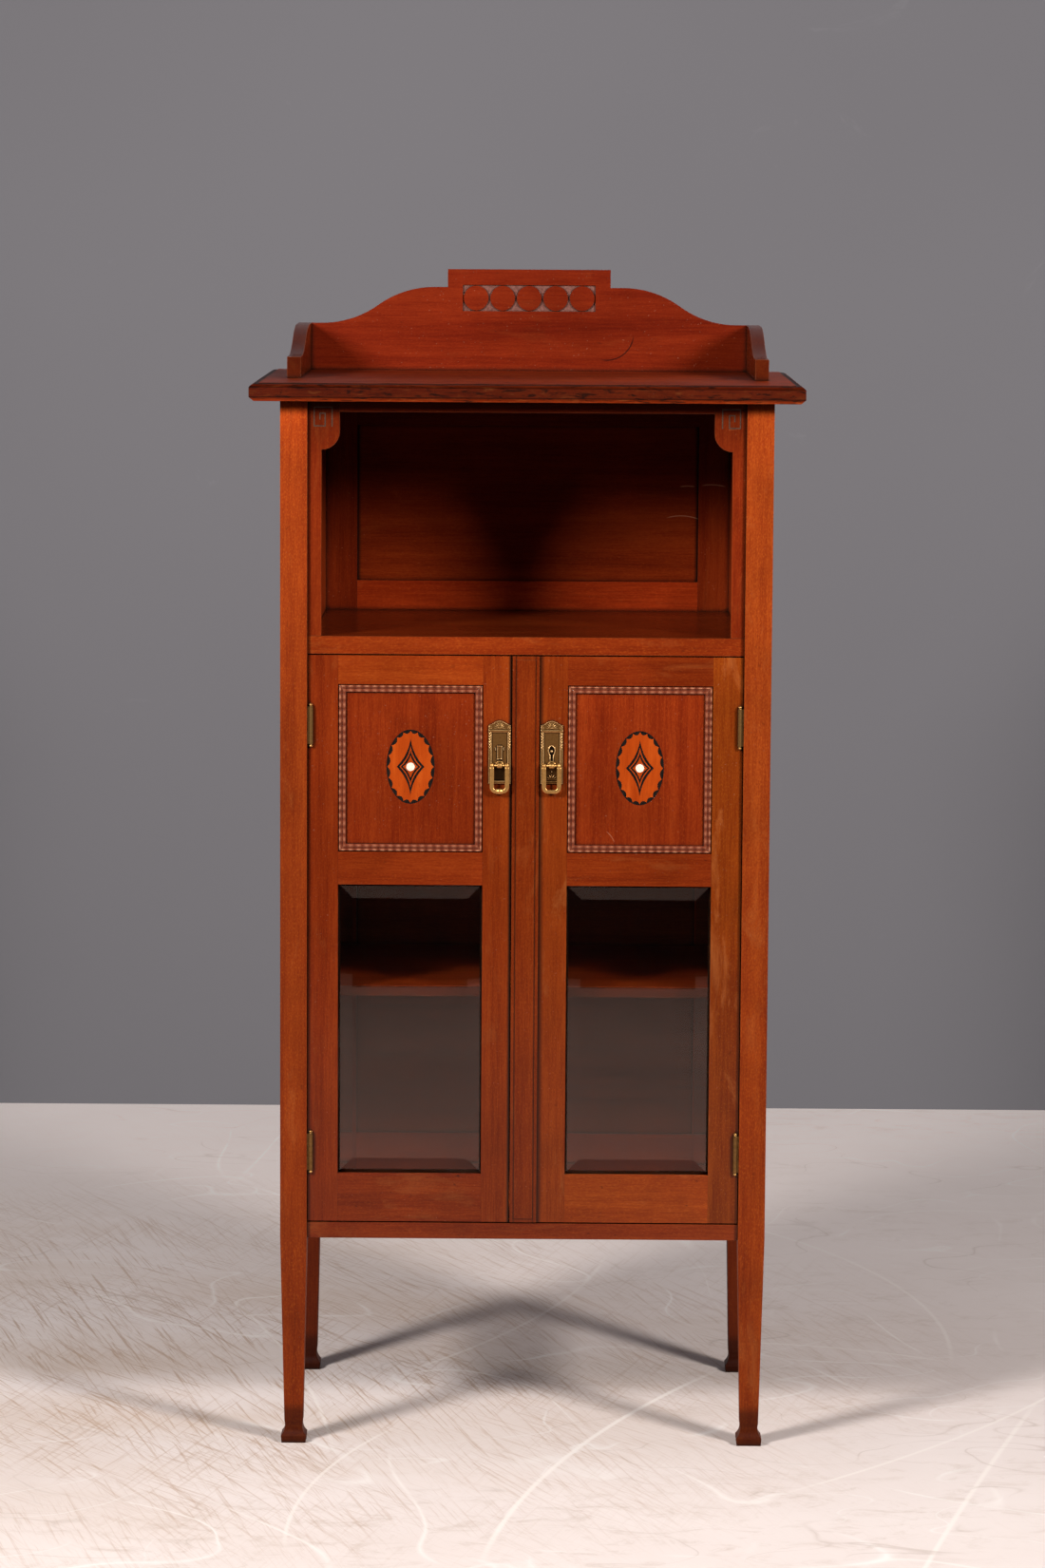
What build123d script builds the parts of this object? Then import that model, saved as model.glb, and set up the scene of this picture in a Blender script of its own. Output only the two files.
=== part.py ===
from build123d import *
import math
import os

# Glass display cabinet: four legs, a moulded top board with a low gallery, an open niche,
# and two doors with an inlaid wood panel over a bevelled glass light.
# Millimetres, +Z up, the front faces -Y, the origin is on the floor under the middle of the top board.

# Overall sizes
body_width = 600.0
body_depth = 408.0
leg_height = 1296.0
overrun = 2.0

# Legs
leg_side = 33.0
leg_toe_side = 23.0
carcass_underside = 260.0
foot_flare_height = 27.0
foot_flare_bulge = 2.4
foot_shoulder_height = 9.0
foot_side = 31.5
foot_sole_side = 30.0

# Top board and its moulded edge
board_thickness = 22.0
board_overhang = 36.0
board_back_lip = 2.0
ovolo_width = 10.5
ovolo_drop = 4.2
ovolo_bulge = 1.8
quirk_depth = 1.0
lower_chamfer_width = 5.5
lower_chamfer_height = 5.0

# Gallery
gallery_thickness = 14.0
gallery_side_thickness = 17.0
gallery_side_inset = 2.0
gallery_side_setback = 122.0
gallery_side_front_height = 26.0
gallery_low_height = 60.0
gallery_side_ledge_share = 0.10
gallery_side_rise_share = 0.80
gallery_mid_height = 107.0
gallery_block_height = 130.0
gallery_block_half_width = 105.0
gallery_block_shoulder = 17.0
gallery_side_shoulder = 13.0
carved_panel_width = 171.0
carved_panel_height = 33.6
carved_panel_drop = 20.0
carved_depth = 3.0
carved_disc_count = 5
carved_disc_gap = 2.2

# Front of the niche
face_setback = 5.0
face_thickness = 18.0
top_rail_height = 14.0
niche_stile_width = 17.0
niche_head_width = 39.2
niche_head_height = 38.0
niche_cove_radius = 22.0
key_line_width = 1.3
key_depth = 0.8
key_inner_inset = 9.2
key_leg_inset = 8.2
key_top_inset = 8.6
key_bottom_inset = 6.8
key_inner_width_share = 0.615
key_inner_drop_share = 0.319
key_tail_width_share = 0.294
key_tail_height_share = 0.310

# Boards of the carcass
side_thickness = 22.0
side_inset = 6.0
niche_height = 287.0
shelf_thickness = 22.0
bottom_board_thickness = 20.0
inner_shelf_height_share = 0.4116
inner_shelf_thickness = 13.0
inner_shelf_setback = 45.0
inner_shelf_gap = 0.5
cleat_side = 12.0
cleat_setback = 12.0
door_stop_width = 80.0
door_stop_height = 12.0
door_stop_depth = 12.0
door_stop_gap = 0.3

# Framed back
back_frame_thickness = 16.0
back_stile_width = 46.4
back_top_rail_height = 48.0
back_middle_rail_over_shelf = 38.0
back_middle_rail_height = 87.0
back_bottom_rail_height = 60.0
back_panel_thickness = 8.0
back_panel_recess = 4.0
back_panel_tongue = 6.0

# Doors
door_top_gap = 1.5
door_bottom_gap = 1.5
door_edge_gap = 1.0
door_meeting_gap = 1.3
door_top_rail_height = 35.7
door_upper_panel_height = 206.4
door_middle_rail_height = 40.8
door_bottom_rail_height = 60.3
door_hinge_stile_width = 36.8
door_light_inner = 51.8
door_panel_recess = 3.0
door_panel_thickness = 8.0
door_panel_tongue = 6.0

# Centre strip on the right door
strip_left = -16.0
strip_width = 33.0
strip_proud = 3.0
strip_rebate_width = 4.6
strip_rebate_depth = 1.2

# Glass and its beads
glass_thickness = 5.0
glass_edge_thickness = 2.0
glass_setback = 6.0
glass_rebate = 5.0
glass_bevel_width = 18.0
bead_width = 8.0

# Ripple moulding round the upper panels
ripple_quirk = 1.0
ripple_width = 8.8
ripple_base = 2.6
ripple_wave_height = 0.7
ripple_pitch = 9.8
ripple_groove_width = 0.8
ripple_groove_depth = 0.7
ripple_groove_shares = (0.30, 0.52)
ripple_chords = 2

# Oval inlay
oval_width = 59.0
oval_height = 91.4
oval_rise = 1.8
veneer = 0.8
scallop_count = 20
scallop_rim = 0.5
scallop_bulge = 3.0
outer_lozenge_shares = (0.569, 0.755)
outer_lozenge_bore_shares = (0.464, 0.584)
inner_lozenge_shares = (0.414, 0.433)
inner_lozenge_bore_shares = (0.336, 0.328)
lozenge_sag_share = 0.085
inlay_chords = 3
pearl_diameter = 10.3

# Flat sides of what is small and round
bar_sides = 16
disc_sides = 36

# Hinges
hinge_height = 46.0
hinge_knuckles = 3
hinge_barrel_radius = 2.8
hinge_pin_radius = 1.3
hinge_pin_play = 0.05
hinge_knuckle_gap = 0.2
hinge_leaf_depth = 16.0
hinge_leaf_recess = 0.8
hinge_leaf_proud = 0.4
hinge_axis_inset = 4.6
hinge_barrel_clearance = 0.3
hinge_web_half = 0.5
hinge_pin_tip = 3.0
hinge_top_inset = 86.0
hinge_bottom_inset = 87.5

# Brass handles
plate_width = 27.8
plate_door_drop = 78.7
plate_crown_rise = 5.2
plate_height = 73.0
plate_crown_half = 4.5
plate_thickness = 2.4
plate_border = 3.7
plate_sunk_drop = 10.1
plate_sunk_depth = 0.9
plate_bar_height = 2.6
plate_left_gap = 0.2
plate_right_gap = 1.5
hanger_width = 6.4
hanger_height = 18.0
hanger_rise = 6.2
hanger_proud = 2.2
pivot_drop = 49.8
pivot_forward = 5.0
pivot_eye_radius = 3.6
pivot_eye_width = 6.6
pivot_neck_width = 4.8
pivot_pin_radius = 1.4
pivot_play = 0.08
bail_outer_width = 23.8
bail_bar_width = 5.2
bail_thickness = 3.6
bail_drop = 34.6
bail_foot_height = 4.8
bail_outer_radius = 7.6
bail_inner_radius = 3.4
bail_bend_flats = 5
bail_edge_chamfer = 0.9
bail_ear_radius = 2.7
bail_boss_width = 9.0
bail_boss_proud = 0.7
bail_boss_height = 5.6
keyhole_width = 3.4
keyhole_slot_width = 2.0
keyhole_slot_height = 8.0
keyhole_drop = 31.0
keyhole_rim = 1.6
keyhole_rim_proud = 0.8

# Lock in the right door
lock_height = 48.0
lock_depth = 9.0
lock_clearance = 0.8
lock_wall = 3.0
bolt_height = 10.0
bolt_thickness = 5.0
bolt_inset = 0.4
strike_depth = 10.0
strike_play = 0.8

# Places worked out from the sizes above
board_top = leg_height + board_thickness
board_width = body_width + 2 * board_overhang
board_depth = board_overhang + body_depth + board_back_lip
front_y = board_overhang - board_depth / 2
back_y = front_y + body_depth
leg_inner = body_width / 2 - leg_side
side_inner_face = leg_inner - side_inset
leg_back_y = front_y + leg_side
back_leg_front_y = back_y - leg_side
face_front_y = front_y + face_setback
face_back_y = face_front_y + face_thickness
shelf_top = leg_height - niche_height
shelf_bottom = shelf_top - shelf_thickness
bottom_board_top = carcass_underside + bottom_board_thickness
inner_shelf_top = bottom_board_top + inner_shelf_height_share * (shelf_bottom - bottom_board_top)
door_top = shelf_bottom - door_top_gap
door_bottom = bottom_board_top + door_bottom_gap
door_outer = leg_inner - door_edge_gap
light_outer = door_outer - door_hinge_stile_width
panel_top = door_top - door_top_rail_height
panel_bottom = panel_top - door_upper_panel_height
glass_top = panel_bottom - door_middle_rail_height
glass_bottom = door_bottom + door_bottom_rail_height
door_panel_front = face_front_y + door_panel_recess
left_door_inner = strip_left - door_meeting_gap
hinge_axis_x = leg_inner - hinge_axis_inset
hinge_axis_y = face_front_y - hinge_barrel_radius - hinge_barrel_clearance
plate_front = face_front_y - plate_thickness
plate_crown = door_top - plate_door_drop
plate_shoulder = plate_crown - plate_crown_rise
plate_bottom = plate_shoulder - plate_height
plate_left_centre = left_door_inner - plate_left_gap - plate_width / 2
plate_right_centre = strip_left + strip_width + plate_right_gap + plate_width / 2
pivot_y = plate_front - pivot_forward
pivot_height = plate_shoulder - pivot_drop
keyhole_height = plate_shoulder - keyhole_drop

os.makedirs("parts", exist_ok=True)


def block(x_range, y_range, z_range):
    """A box between two places along each axis."""
    middles = [(low + high) / 2 for low, high in (x_range, y_range, z_range)]
    sizes = [high - low for low, high in (x_range, y_range, z_range)]
    return Pos(*middles) * Box(*sizes)


def round_bar(radius, length):
    """A bar along Z whose corners lie on the circle of its radius."""
    return extrude(RegularPolygon(radius, bar_sides), length / 2, both=True)


def round_bore(radius, length):
    """A bore along Z whose flats clear the circle of its radius."""
    return extrude(RegularPolygon(radius, bar_sides, major_radius=False), length / 2, both=True)


def flipped(shape):
    """The mirror image on the other side of the cabinet."""
    return mirror(shape, about=Plane.YZ)


def front_profile(face, y_start, depth):
    """Extrude a face drawn in X and Z backwards from y_start."""
    return extrude(Plane(origin=(0, y_start, 0), x_dir=(1, 0, 0), z_dir=(0, -1, 0)) * face, -depth)


def side_profile(face, x_start, width):
    """Extrude a face drawn in Y and Z to the right from x_start."""
    return extrude(Plane(origin=(x_start, 0, 0), x_dir=(0, 1, 0), z_dir=(1, 0, 0)) * face, width)


def s_curve(start, end):
    """Two equal arcs that leave both ends level and meet half way."""
    middle = ((start[0] + end[0]) / 2, (start[1] + end[1]) / 2)
    direction = math.copysign(1, end[0] - start[0])
    first = TangentArc(start, middle, tangent=(direction, 0))
    second = TangentArc(middle, end, tangent=first % 1)
    return first + second


def save(name, solids):
    """Write one node: a single solid, or a group of separate ones."""
    pieces = solids if isinstance(solids, list) else [solids]
    if len(pieces) == 1 and len(pieces[0].solids()) == 1:
        export_step(pieces[0].solids()[0], f"parts/{name}.step")
    else:
        every_solid = [solid for piece in pieces for solid in piece.solids()]
        export_step(Compound(every_solid), f"parts/{name}.step")


# Legs: the same outline cut from the front and from the side gives the square taper and the spade foot
def leg_outline():
    half_top = leg_side / 2
    half_toe = leg_toe_side / 2
    half_foot = foot_side / 2
    half_sole = foot_sole_side / 2
    right = [
        (half_sole, 0),
        (half_foot, foot_shoulder_height),
        (half_toe, foot_flare_height),
        (half_top, carcass_underside),
        (half_top, leg_height),
    ]
    left = [(-x, z) for x, z in right]
    edges = Line(left[0], right[0])
    edges += Line(right[0], right[1])
    edges += SagittaArc(right[1], right[2], foot_flare_bulge)
    edges += Polyline(right[2], right[3], right[4], left[4], left[3], left[2])
    edges += SagittaArc(left[2], left[1], foot_flare_bulge)
    edges += Line(left[1], left[0])
    return make_face(edges)


def leg():
    outline = leg_outline()
    from_front = front_profile(outline, -leg_side, 2 * leg_side)
    from_side = side_profile(outline, -leg_side, 2 * leg_side)
    return from_front & from_side


leg_centre_x = body_width / 2 - leg_side / 2
front_leg_y = front_y + leg_side / 2
back_leg_y = back_y - leg_side / 2
one_leg = leg()

# Fixed hinge leaves are let into the inner faces of the front legs
hinge_centres = (door_bottom + hinge_bottom_inset, door_top - hinge_top_inset)


def leaf_slot(x_face, x_depth):
    """The shallow recesses for the two leaves of one door, from the face x_face to x_face + x_depth."""
    x_range = sorted((x_face, x_face + x_depth))
    leaf_back = face_front_y + hinge_leaf_depth
    slots = []
    for centre in hinge_centres:
        z_range = (centre - hinge_height / 2, centre + hinge_height / 2)
        slots.append(block(x_range, (hinge_axis_y - hinge_web_half, leaf_back), z_range))
    return slots


front_leg_right = Pos(leg_centre_x, front_leg_y, 0) * one_leg
for slot in leaf_slot(leg_inner, hinge_leaf_recess):
    front_leg_right -= slot
save("leg_front_right", front_leg_right)
save("leg_front_left", flipped(front_leg_right))
save("leg_back_right", Pos(leg_centre_x, back_leg_y, 0) * one_leg)
save("leg_back_left", Pos(-leg_centre_x, back_leg_y, 0) * one_leg)

# Side panels run between the legs
side_panel = block(
    (side_inner_face, side_inner_face + side_thickness),
    (leg_back_y, back_leg_front_y),
    (carcass_underside, leg_height),
)
save("side_panel_right", side_panel)
save("side_panel_left", flipped(side_panel))


# Top board: one moulded edge, worked from the front and from both sides so that it mitres at the corners
def edge_points(face_place, into_board):
    """Corners of the moulded edge from top to bottom; into_board is +1 or -1."""
    surface = face_place + into_board * (ovolo_width + quirk_depth)
    quirk = face_place + into_board * ovolo_width
    bottom = face_place + into_board * lower_chamfer_width
    return [
        (surface, board_top),
        (surface, board_top - quirk_depth),
        (quirk, board_top - quirk_depth),
        (face_place, board_top - quirk_depth - ovolo_drop),
        (face_place, leg_height + lower_chamfer_height),
        (bottom, leg_height),
    ]


def board_from_side():
    edge = edge_points(-board_depth / 2, 1)
    outline = Polyline(edge[0], edge[1], edge[2])
    outline += SagittaArc(edge[2], edge[3], -ovolo_bulge)
    back = board_depth / 2
    outline += Polyline(edge[3], edge[4], edge[5], (back, leg_height), (back, board_top), edge[0])
    return side_profile(make_face(outline), -board_width / 2, board_width)


def board_from_front():
    left = edge_points(-board_width / 2, 1)
    right = edge_points(board_width / 2, -1)
    outline = Polyline(left[0], left[1], left[2])
    outline += SagittaArc(left[2], left[3], -ovolo_bulge)
    outline += Polyline(left[3], left[4], left[5], right[5], right[4], right[3])
    outline += SagittaArc(right[3], right[2], -ovolo_bulge)
    outline += Polyline(right[2], right[1], right[0], left[0])
    return front_profile(make_face(outline), -board_depth / 2, board_depth)


save("top_board", board_from_side() & board_from_front())

# Gallery back, with the row of discs left standing in a sunk panel
gallery_back_y = board_depth / 2
gallery_front_y = gallery_back_y - gallery_thickness
gallery_side_inner = body_width / 2 - gallery_side_inset - gallery_side_thickness
gallery_curve_inner = gallery_block_half_width + gallery_block_shoulder
gallery_curve_outer = gallery_side_inner - gallery_side_shoulder
low_z = board_top + gallery_low_height
mid_z = board_top + gallery_mid_height
block_z = board_top + gallery_block_height


def gallery_outline():
    outline = Polyline(
        (-gallery_curve_outer, low_z),
        (-gallery_side_inner, low_z),
        (-gallery_side_inner, board_top),
        (gallery_side_inner, board_top),
        (gallery_side_inner, low_z),
        (gallery_curve_outer, low_z),
    )
    outline += s_curve((gallery_curve_outer, low_z), (gallery_curve_inner, mid_z))
    outline += Polyline(
        (gallery_curve_inner, mid_z),
        (gallery_block_half_width, mid_z),
        (gallery_block_half_width, block_z),
        (-gallery_block_half_width, block_z),
        (-gallery_block_half_width, mid_z),
        (-gallery_curve_inner, mid_z),
    )
    outline += s_curve((-gallery_curve_outer, low_z), (-gallery_curve_inner, mid_z))
    return make_face(outline)


carved_top = block_z - carved_panel_drop
carved_middle = carved_top - carved_panel_height / 2
sunk_panel = block(
    (-carved_panel_width / 2, carved_panel_width / 2),
    (gallery_front_y, gallery_front_y + carved_depth),
    (carved_top - carved_panel_height, carved_top),
)
carved_disc_pitch = carved_panel_width / carved_disc_count
for number in range(carved_disc_count):
    disc_x = (number - (carved_disc_count - 1) / 2) * carved_disc_pitch
    disc_face = Pos(disc_x, carved_middle) * RegularPolygon((carved_disc_pitch - carved_disc_gap) / 2, disc_sides)
    sunk_panel -= front_profile(disc_face, gallery_front_y, carved_depth)
gallery_back = front_profile(gallery_outline(), gallery_front_y, gallery_thickness) - sunk_panel
save("gallery_back", gallery_back)

# Gallery side brackets
bracket_front_y = front_y + gallery_side_setback
bracket_length = gallery_back_y - bracket_front_y
bracket_low = board_top + gallery_side_front_height
rise_start = bracket_front_y + gallery_side_ledge_share * bracket_length
rise_end = bracket_front_y + gallery_side_rise_share * bracket_length
bracket_outline = Polyline(
    (rise_start, bracket_low),
    (bracket_front_y, bracket_low),
    (bracket_front_y, board_top),
    (gallery_back_y, board_top),
    (gallery_back_y, low_z),
    (rise_end, low_z),
)
bracket_outline += s_curve((rise_start, bracket_low), (rise_end, low_z))
bracket = side_profile(make_face(bracket_outline), gallery_side_inner, gallery_side_thickness)
save("gallery_side_right", bracket)
save("gallery_side_left", flipped(bracket))

# Top rail between the heads of the shaped stiles
head_inner = leg_inner - niche_head_width
save("top_rail", block(
    (-head_inner, head_inner),
    (face_front_y, face_back_y),
    (leg_height - top_rail_height, leg_height),
))


# Shaped stile of the niche, with a coved head
def niche_stile_outline():
    inner = leg_inner - niche_stile_width
    head_bottom = leg_height - niche_head_height
    cove_bottom = head_bottom - niche_cove_radius
    outline = Polyline(
        (head_inner, head_bottom),
        (head_inner, leg_height),
        (leg_inner, leg_height),
        (leg_inner, shelf_top),
        (inner, shelf_top),
        (inner, cove_bottom),
    )
    outline += RadiusArc((inner, cove_bottom), (head_inner, head_bottom), niche_cove_radius)
    return make_face(outline)


def key_path():
    """Corner points of the fret line on the right head."""
    left = head_inner + key_inner_inset
    right = leg_inner - key_leg_inset
    top = leg_height - key_top_inset
    bottom = leg_height - niche_head_height + key_bottom_inset
    width = right - left
    height = top - bottom
    inner_left = right - key_inner_width_share * width
    inner_top = top - key_inner_drop_share * height
    tail_x = inner_left + key_tail_width_share * width
    tail_z = inner_top - key_tail_height_share * height
    return [
        (left, bottom),
        (left, top),
        (right, top),
        (right, bottom),
        (inner_left, bottom),
        (inner_left, inner_top),
        (tail_x, inner_top),
        (tail_x, tail_z),
    ]


def key_face():
    face = Sketch()
    points = key_path()
    for (x0, z0), (x1, z1) in zip(points, points[1:]):
        width = abs(x1 - x0) + key_line_width
        height = abs(z1 - z0) + key_line_width
        face += Pos((x0 + x1) / 2, (z0 + z1) / 2) * Rectangle(width, height)
    return face


key_line = front_profile(key_face(), face_front_y, key_depth)
niche_stile = front_profile(niche_stile_outline(), face_front_y, face_thickness) - key_line
save("niche_stile_right", niche_stile)
save("niche_stile_left", flipped(niche_stile))
save("key_lines", [key_line, flipped(key_line)])


# Shelf and bottom board fill the plan between the legs, the side panels and the back
def carcass_board(z_range):
    front_part = block((-leg_inner, leg_inner), (face_front_y, leg_back_y), z_range)
    back_part = block((-side_inner_face, side_inner_face), (leg_back_y, back_leg_front_y), z_range)
    return front_part + back_part


save("niche_shelf", carcass_board((shelf_bottom, shelf_top)))
save("bottom_board", carcass_board((carcass_underside, bottom_board_top)))

# Inner shelf on its cleats
shelf_side = side_inner_face - inner_shelf_gap
shelf_front = front_y + inner_shelf_setback
shelf_underside = inner_shelf_top - inner_shelf_thickness
save("inner_shelf", block(
    (-shelf_side, shelf_side),
    (shelf_front, back_leg_front_y - inner_shelf_gap),
    (shelf_underside, inner_shelf_top),
))
cleat = block(
    (side_inner_face - cleat_side, side_inner_face),
    (shelf_front + cleat_setback, back_leg_front_y - cleat_setback),
    (shelf_underside - cleat_side, shelf_underside),
)
save("shelf_cleats", [cleat, flipped(cleat)])

# Stop that both doors close against
save("door_stop", block(
    (-door_stop_width / 2, door_stop_width / 2),
    (face_back_y + door_stop_gap, face_back_y + door_stop_gap + door_stop_depth),
    (shelf_bottom - door_stop_height, shelf_bottom),
))

# Framed back: grooved stiles and rails round two panels
back_frame_y = (back_leg_front_y, back_leg_front_y + back_frame_thickness)
back_panel_y = (
    back_frame_y[0] + back_panel_recess,
    back_frame_y[0] + back_panel_recess + back_panel_thickness,
)
back_stile_inner = leg_inner - back_stile_width
middle_rail_top = shelf_top + back_middle_rail_over_shelf
middle_rail_bottom = middle_rail_top - back_middle_rail_height
top_rail_bottom = leg_height - back_top_rail_height
bottom_rail_top = carcass_underside + back_bottom_rail_height


def back_panel(low, high):
    half_width = back_stile_inner + back_panel_tongue
    return block(
        (-half_width, half_width),
        back_panel_y,
        (low - back_panel_tongue, high + back_panel_tongue),
    )


upper_back_panel = back_panel(middle_rail_top, top_rail_bottom)
lower_back_panel = back_panel(bottom_rail_top, middle_rail_bottom)


def back_member(x_range, z_range):
    """A stile or rail of the back, grooved for the panels."""
    return block(x_range, back_frame_y, z_range) - upper_back_panel - lower_back_panel


back_stile = back_member((back_stile_inner, leg_inner), (carcass_underside, leg_height))
save("back_stile_right", back_stile)
save("back_stile_left", flipped(back_stile))
back_rail_x = (-back_stile_inner, back_stile_inner)
save("back_rail_top", back_member(back_rail_x, (top_rail_bottom, leg_height)))
save("back_rail_middle", back_member(back_rail_x, (middle_rail_bottom, middle_rail_top)))
save("back_rail_bottom", back_member(back_rail_x, (carcass_underside, bottom_rail_top)))
save("back_panel_upper", upper_back_panel)
save("back_panel_lower", lower_back_panel)

# Hinges: drawn for the right door and mirrored for the left one
knuckle_length = hinge_height / hinge_knuckles


def knuckle_range(centre, number):
    low = centre - hinge_height / 2 + number * knuckle_length
    return (low + hinge_knuckle_gap / 2, low + knuckle_length - hinge_knuckle_gap / 2)


def knuckle(z_range, leaf_x):
    """One tube of the barrel with the plate and the bridge that tie it to its leaf."""
    low, high = z_range
    tube = Pos(hinge_axis_x, hinge_axis_y, (low + high) / 2) * round_bar(hinge_barrel_radius, high - low)
    plate = block(leaf_x, (hinge_axis_y - hinge_web_half, face_front_y), z_range)
    bridge_x = (hinge_axis_x + hinge_pin_radius + hinge_web_half, leaf_x[1])
    bridge_y = (hinge_axis_y - hinge_web_half, hinge_axis_y + hinge_web_half)
    return tube + plate + block(bridge_x, bridge_y, z_range)


def hinge_half(centre, fixed):
    """The leaf and its knuckles; fixed knuckles are the outer and the middle ones."""
    leaf_back = face_front_y + hinge_leaf_depth
    z_range = (centre - hinge_height / 2, centre + hinge_height / 2)
    if fixed:
        leaf_x = (leg_inner - hinge_leaf_proud, leg_inner + hinge_leaf_recess)
    else:
        leaf_x = (door_outer - hinge_leaf_recess, door_outer + hinge_leaf_proud)
    half = block(leaf_x, (face_front_y, leaf_back), z_range)
    bore = hinge_pin_radius + hinge_pin_play
    for number in range(hinge_knuckles):
        if (number % 2 == 0) == fixed:
            half += knuckle(knuckle_range(centre, number), leaf_x)
    hole = Pos(hinge_axis_x, hinge_axis_y, centre) * round_bore(bore, hinge_height + overrun)
    return half - hole


def hinge_pin(centre):
    """The pin, which stands out of the barrel at both ends to take its tips."""
    length = hinge_height + 2 * hinge_pin_tip
    return Pos(hinge_axis_x, hinge_axis_y, centre) * round_bar(hinge_pin_radius, length)


fixed_leaves = [hinge_half(centre, True) for centre in hinge_centres]
moving_leaves = [hinge_half(centre, False) for centre in hinge_centres]
pins = [hinge_pin(centre) for centre in hinge_centres]
save("hinge_leaves_frame", fixed_leaves + [flipped(leaf) for leaf in fixed_leaves])
save("hinge_pins", pins + [flipped(pin) for pin in pins])
save("door_right_hinge_leaves", moving_leaves)
save("door_left_hinge_leaves", [flipped(leaf) for leaf in moving_leaves])

# Door frames: drawn as a right door whose meeting edge is given, grooved for the panel, rebated for the glass
door_y = (face_front_y, face_back_y)
panel_y = (door_panel_front, door_panel_front + door_panel_thickness)
glass_front = face_front_y + glass_setback
glass_back = glass_front + glass_thickness
light_x = (door_light_inner, light_outer)


def widened(value_range, amount):
    return (value_range[0] - amount, value_range[1] + amount)


door_panel_solid = block(
    widened(light_x, door_panel_tongue),
    panel_y,
    widened((panel_bottom, panel_top), door_panel_tongue),
)
glass_rebate_solid = block(
    widened(light_x, glass_rebate),
    (glass_front, face_back_y),
    widened((glass_bottom, glass_top), glass_rebate),
)


def door_member(x_range, z_range):
    """A stile or rail of the door frame."""
    return block(x_range, door_y, z_range) - door_panel_solid - glass_rebate_solid


def hinge_stile():
    stile = door_member((light_outer, door_outer), (door_bottom, door_top))
    for slot in leaf_slot(door_outer, -hinge_leaf_recess):
        stile -= slot
    return stile


door_rails = {
    "top_rail": (panel_top, door_top),
    "middle_rail": (glass_top, panel_bottom),
    "bottom_rail": (door_bottom, glass_bottom),
}


# Bevelled glass, let into the rebate from behind
def glass_plate():
    width = light_outer - door_light_inner + 2 * glass_rebate
    height = glass_top - glass_bottom + 2 * glass_rebate
    bevel = glass_bevel_width + glass_rebate
    centre = ((light_x[0] + light_x[1]) / 2, (glass_bottom + glass_top) / 2)
    slab = front_profile(
        Pos(*centre) * Rectangle(width, height),
        glass_back - glass_edge_thickness,
        glass_edge_thickness,
    )
    plane = Plane(origin=(centre[0], glass_back, centre[1]), x_dir=(1, 0, 0), z_dir=(0, -1, 0))
    low = plane * Pos(0, 0, glass_edge_thickness) * Rectangle(width, height)
    high = plane * Pos(0, 0, glass_thickness) * Rectangle(width - 2 * bevel, height - 2 * bevel)
    return slab + loft([low, high], ruled=True)


def glazing_beads():
    """Four beads that hold the glass in its rebate, the upright ones between the level ones."""
    left, right = widened(light_x, glass_rebate)
    low, high = widened((glass_bottom, glass_top), glass_rebate)
    bead_y = (glass_back, face_back_y)
    return [
        block((left, right), bead_y, (low, low + bead_width)),
        block((left, right), bead_y, (high - bead_width, high)),
        block((left, left + bead_width), bead_y, (low + bead_width, high - bead_width)),
        block((right - bead_width, right), bead_y, (low + bead_width, high - bead_width)),
    ]


# A shallow curve in a few chords, which keeps the facets of what repeats down
def bowed(start, end, sag, chords):
    """Points from start to end along a curve that swells to the left of that way by sag."""
    run, rise = end[0] - start[0], end[1] - start[1]
    length = math.hypot(run, rise)
    points = []
    for step in range(chords + 1):
        along = step / chords
        out = 4 * along * (1 - along) * sag / length
        points.append((start[0] + along * run - out * rise, start[1] + along * rise + out * run))
    return points


# Ripple moulding: a reeded strip whose crest waves along its length, mitred at both ends
def ripple_strip(length):
    waves = round(length / ripple_pitch)
    pitch = length / waves
    crest = ripple_base + ripple_wave_height
    outline = [(length / 2, ripple_base), (length / 2, 0), (-length / 2, 0), (-length / 2, ripple_base)]
    for number in range(waves):
        start = -length / 2 + number * pitch
        outline += bowed((start, ripple_base), (start + pitch, ripple_base), ripple_wave_height, ripple_chords)[1:]
    upright = extrude(Plane.XZ * make_face(Polyline(*outline)), -ripple_width)
    plan = Polyline(
        (-length / 2, 0),
        (length / 2, 0),
        (length / 2 - ripple_width, ripple_width),
        (-length / 2 + ripple_width, ripple_width),
        (-length / 2, 0),
    )
    strip = upright & extrude(make_face(plan), crest + overrun)
    for share in ripple_groove_shares:
        middle = share * ripple_width
        groove_y = (middle - ripple_groove_width / 2, middle + ripple_groove_width / 2)
        strip -= block((-length, length), groove_y, (ripple_base - ripple_groove_depth, crest + overrun))
    return strip


def ripple_frame():
    """Four lengths round the upper panel, a quirk inside the frame."""
    half_width = (light_outer - door_light_inner) / 2 - ripple_quirk
    half_height = door_upper_panel_height / 2 - ripple_quirk
    origin = ((light_x[0] + light_x[1]) / 2, door_panel_front, (panel_bottom + panel_top) / 2)
    plane = Plane(origin=origin, x_dir=(1, 0, 0), z_dir=(0, -1, 0))
    level = ripple_strip(2 * half_width)
    upright = ripple_strip(2 * half_height)
    return [
        plane.location * Pos(0, -half_height, 0) * level,
        plane.location * Rot(0, 0, 180) * Pos(0, -half_height, 0) * level,
        plane.location * Rot(0, 0, 90) * Pos(0, -half_width, 0) * upright,
        plane.location * Rot(0, 0, 270) * Pos(0, -half_width, 0) * upright,
    ]


# Oval inlay: light ground, dark scallops round the rim, two dark lozenge lines and a pearl disc
oval_centre = ((light_x[0] + light_x[1]) / 2, (panel_bottom + panel_top) / 2 + oval_rise)


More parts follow.
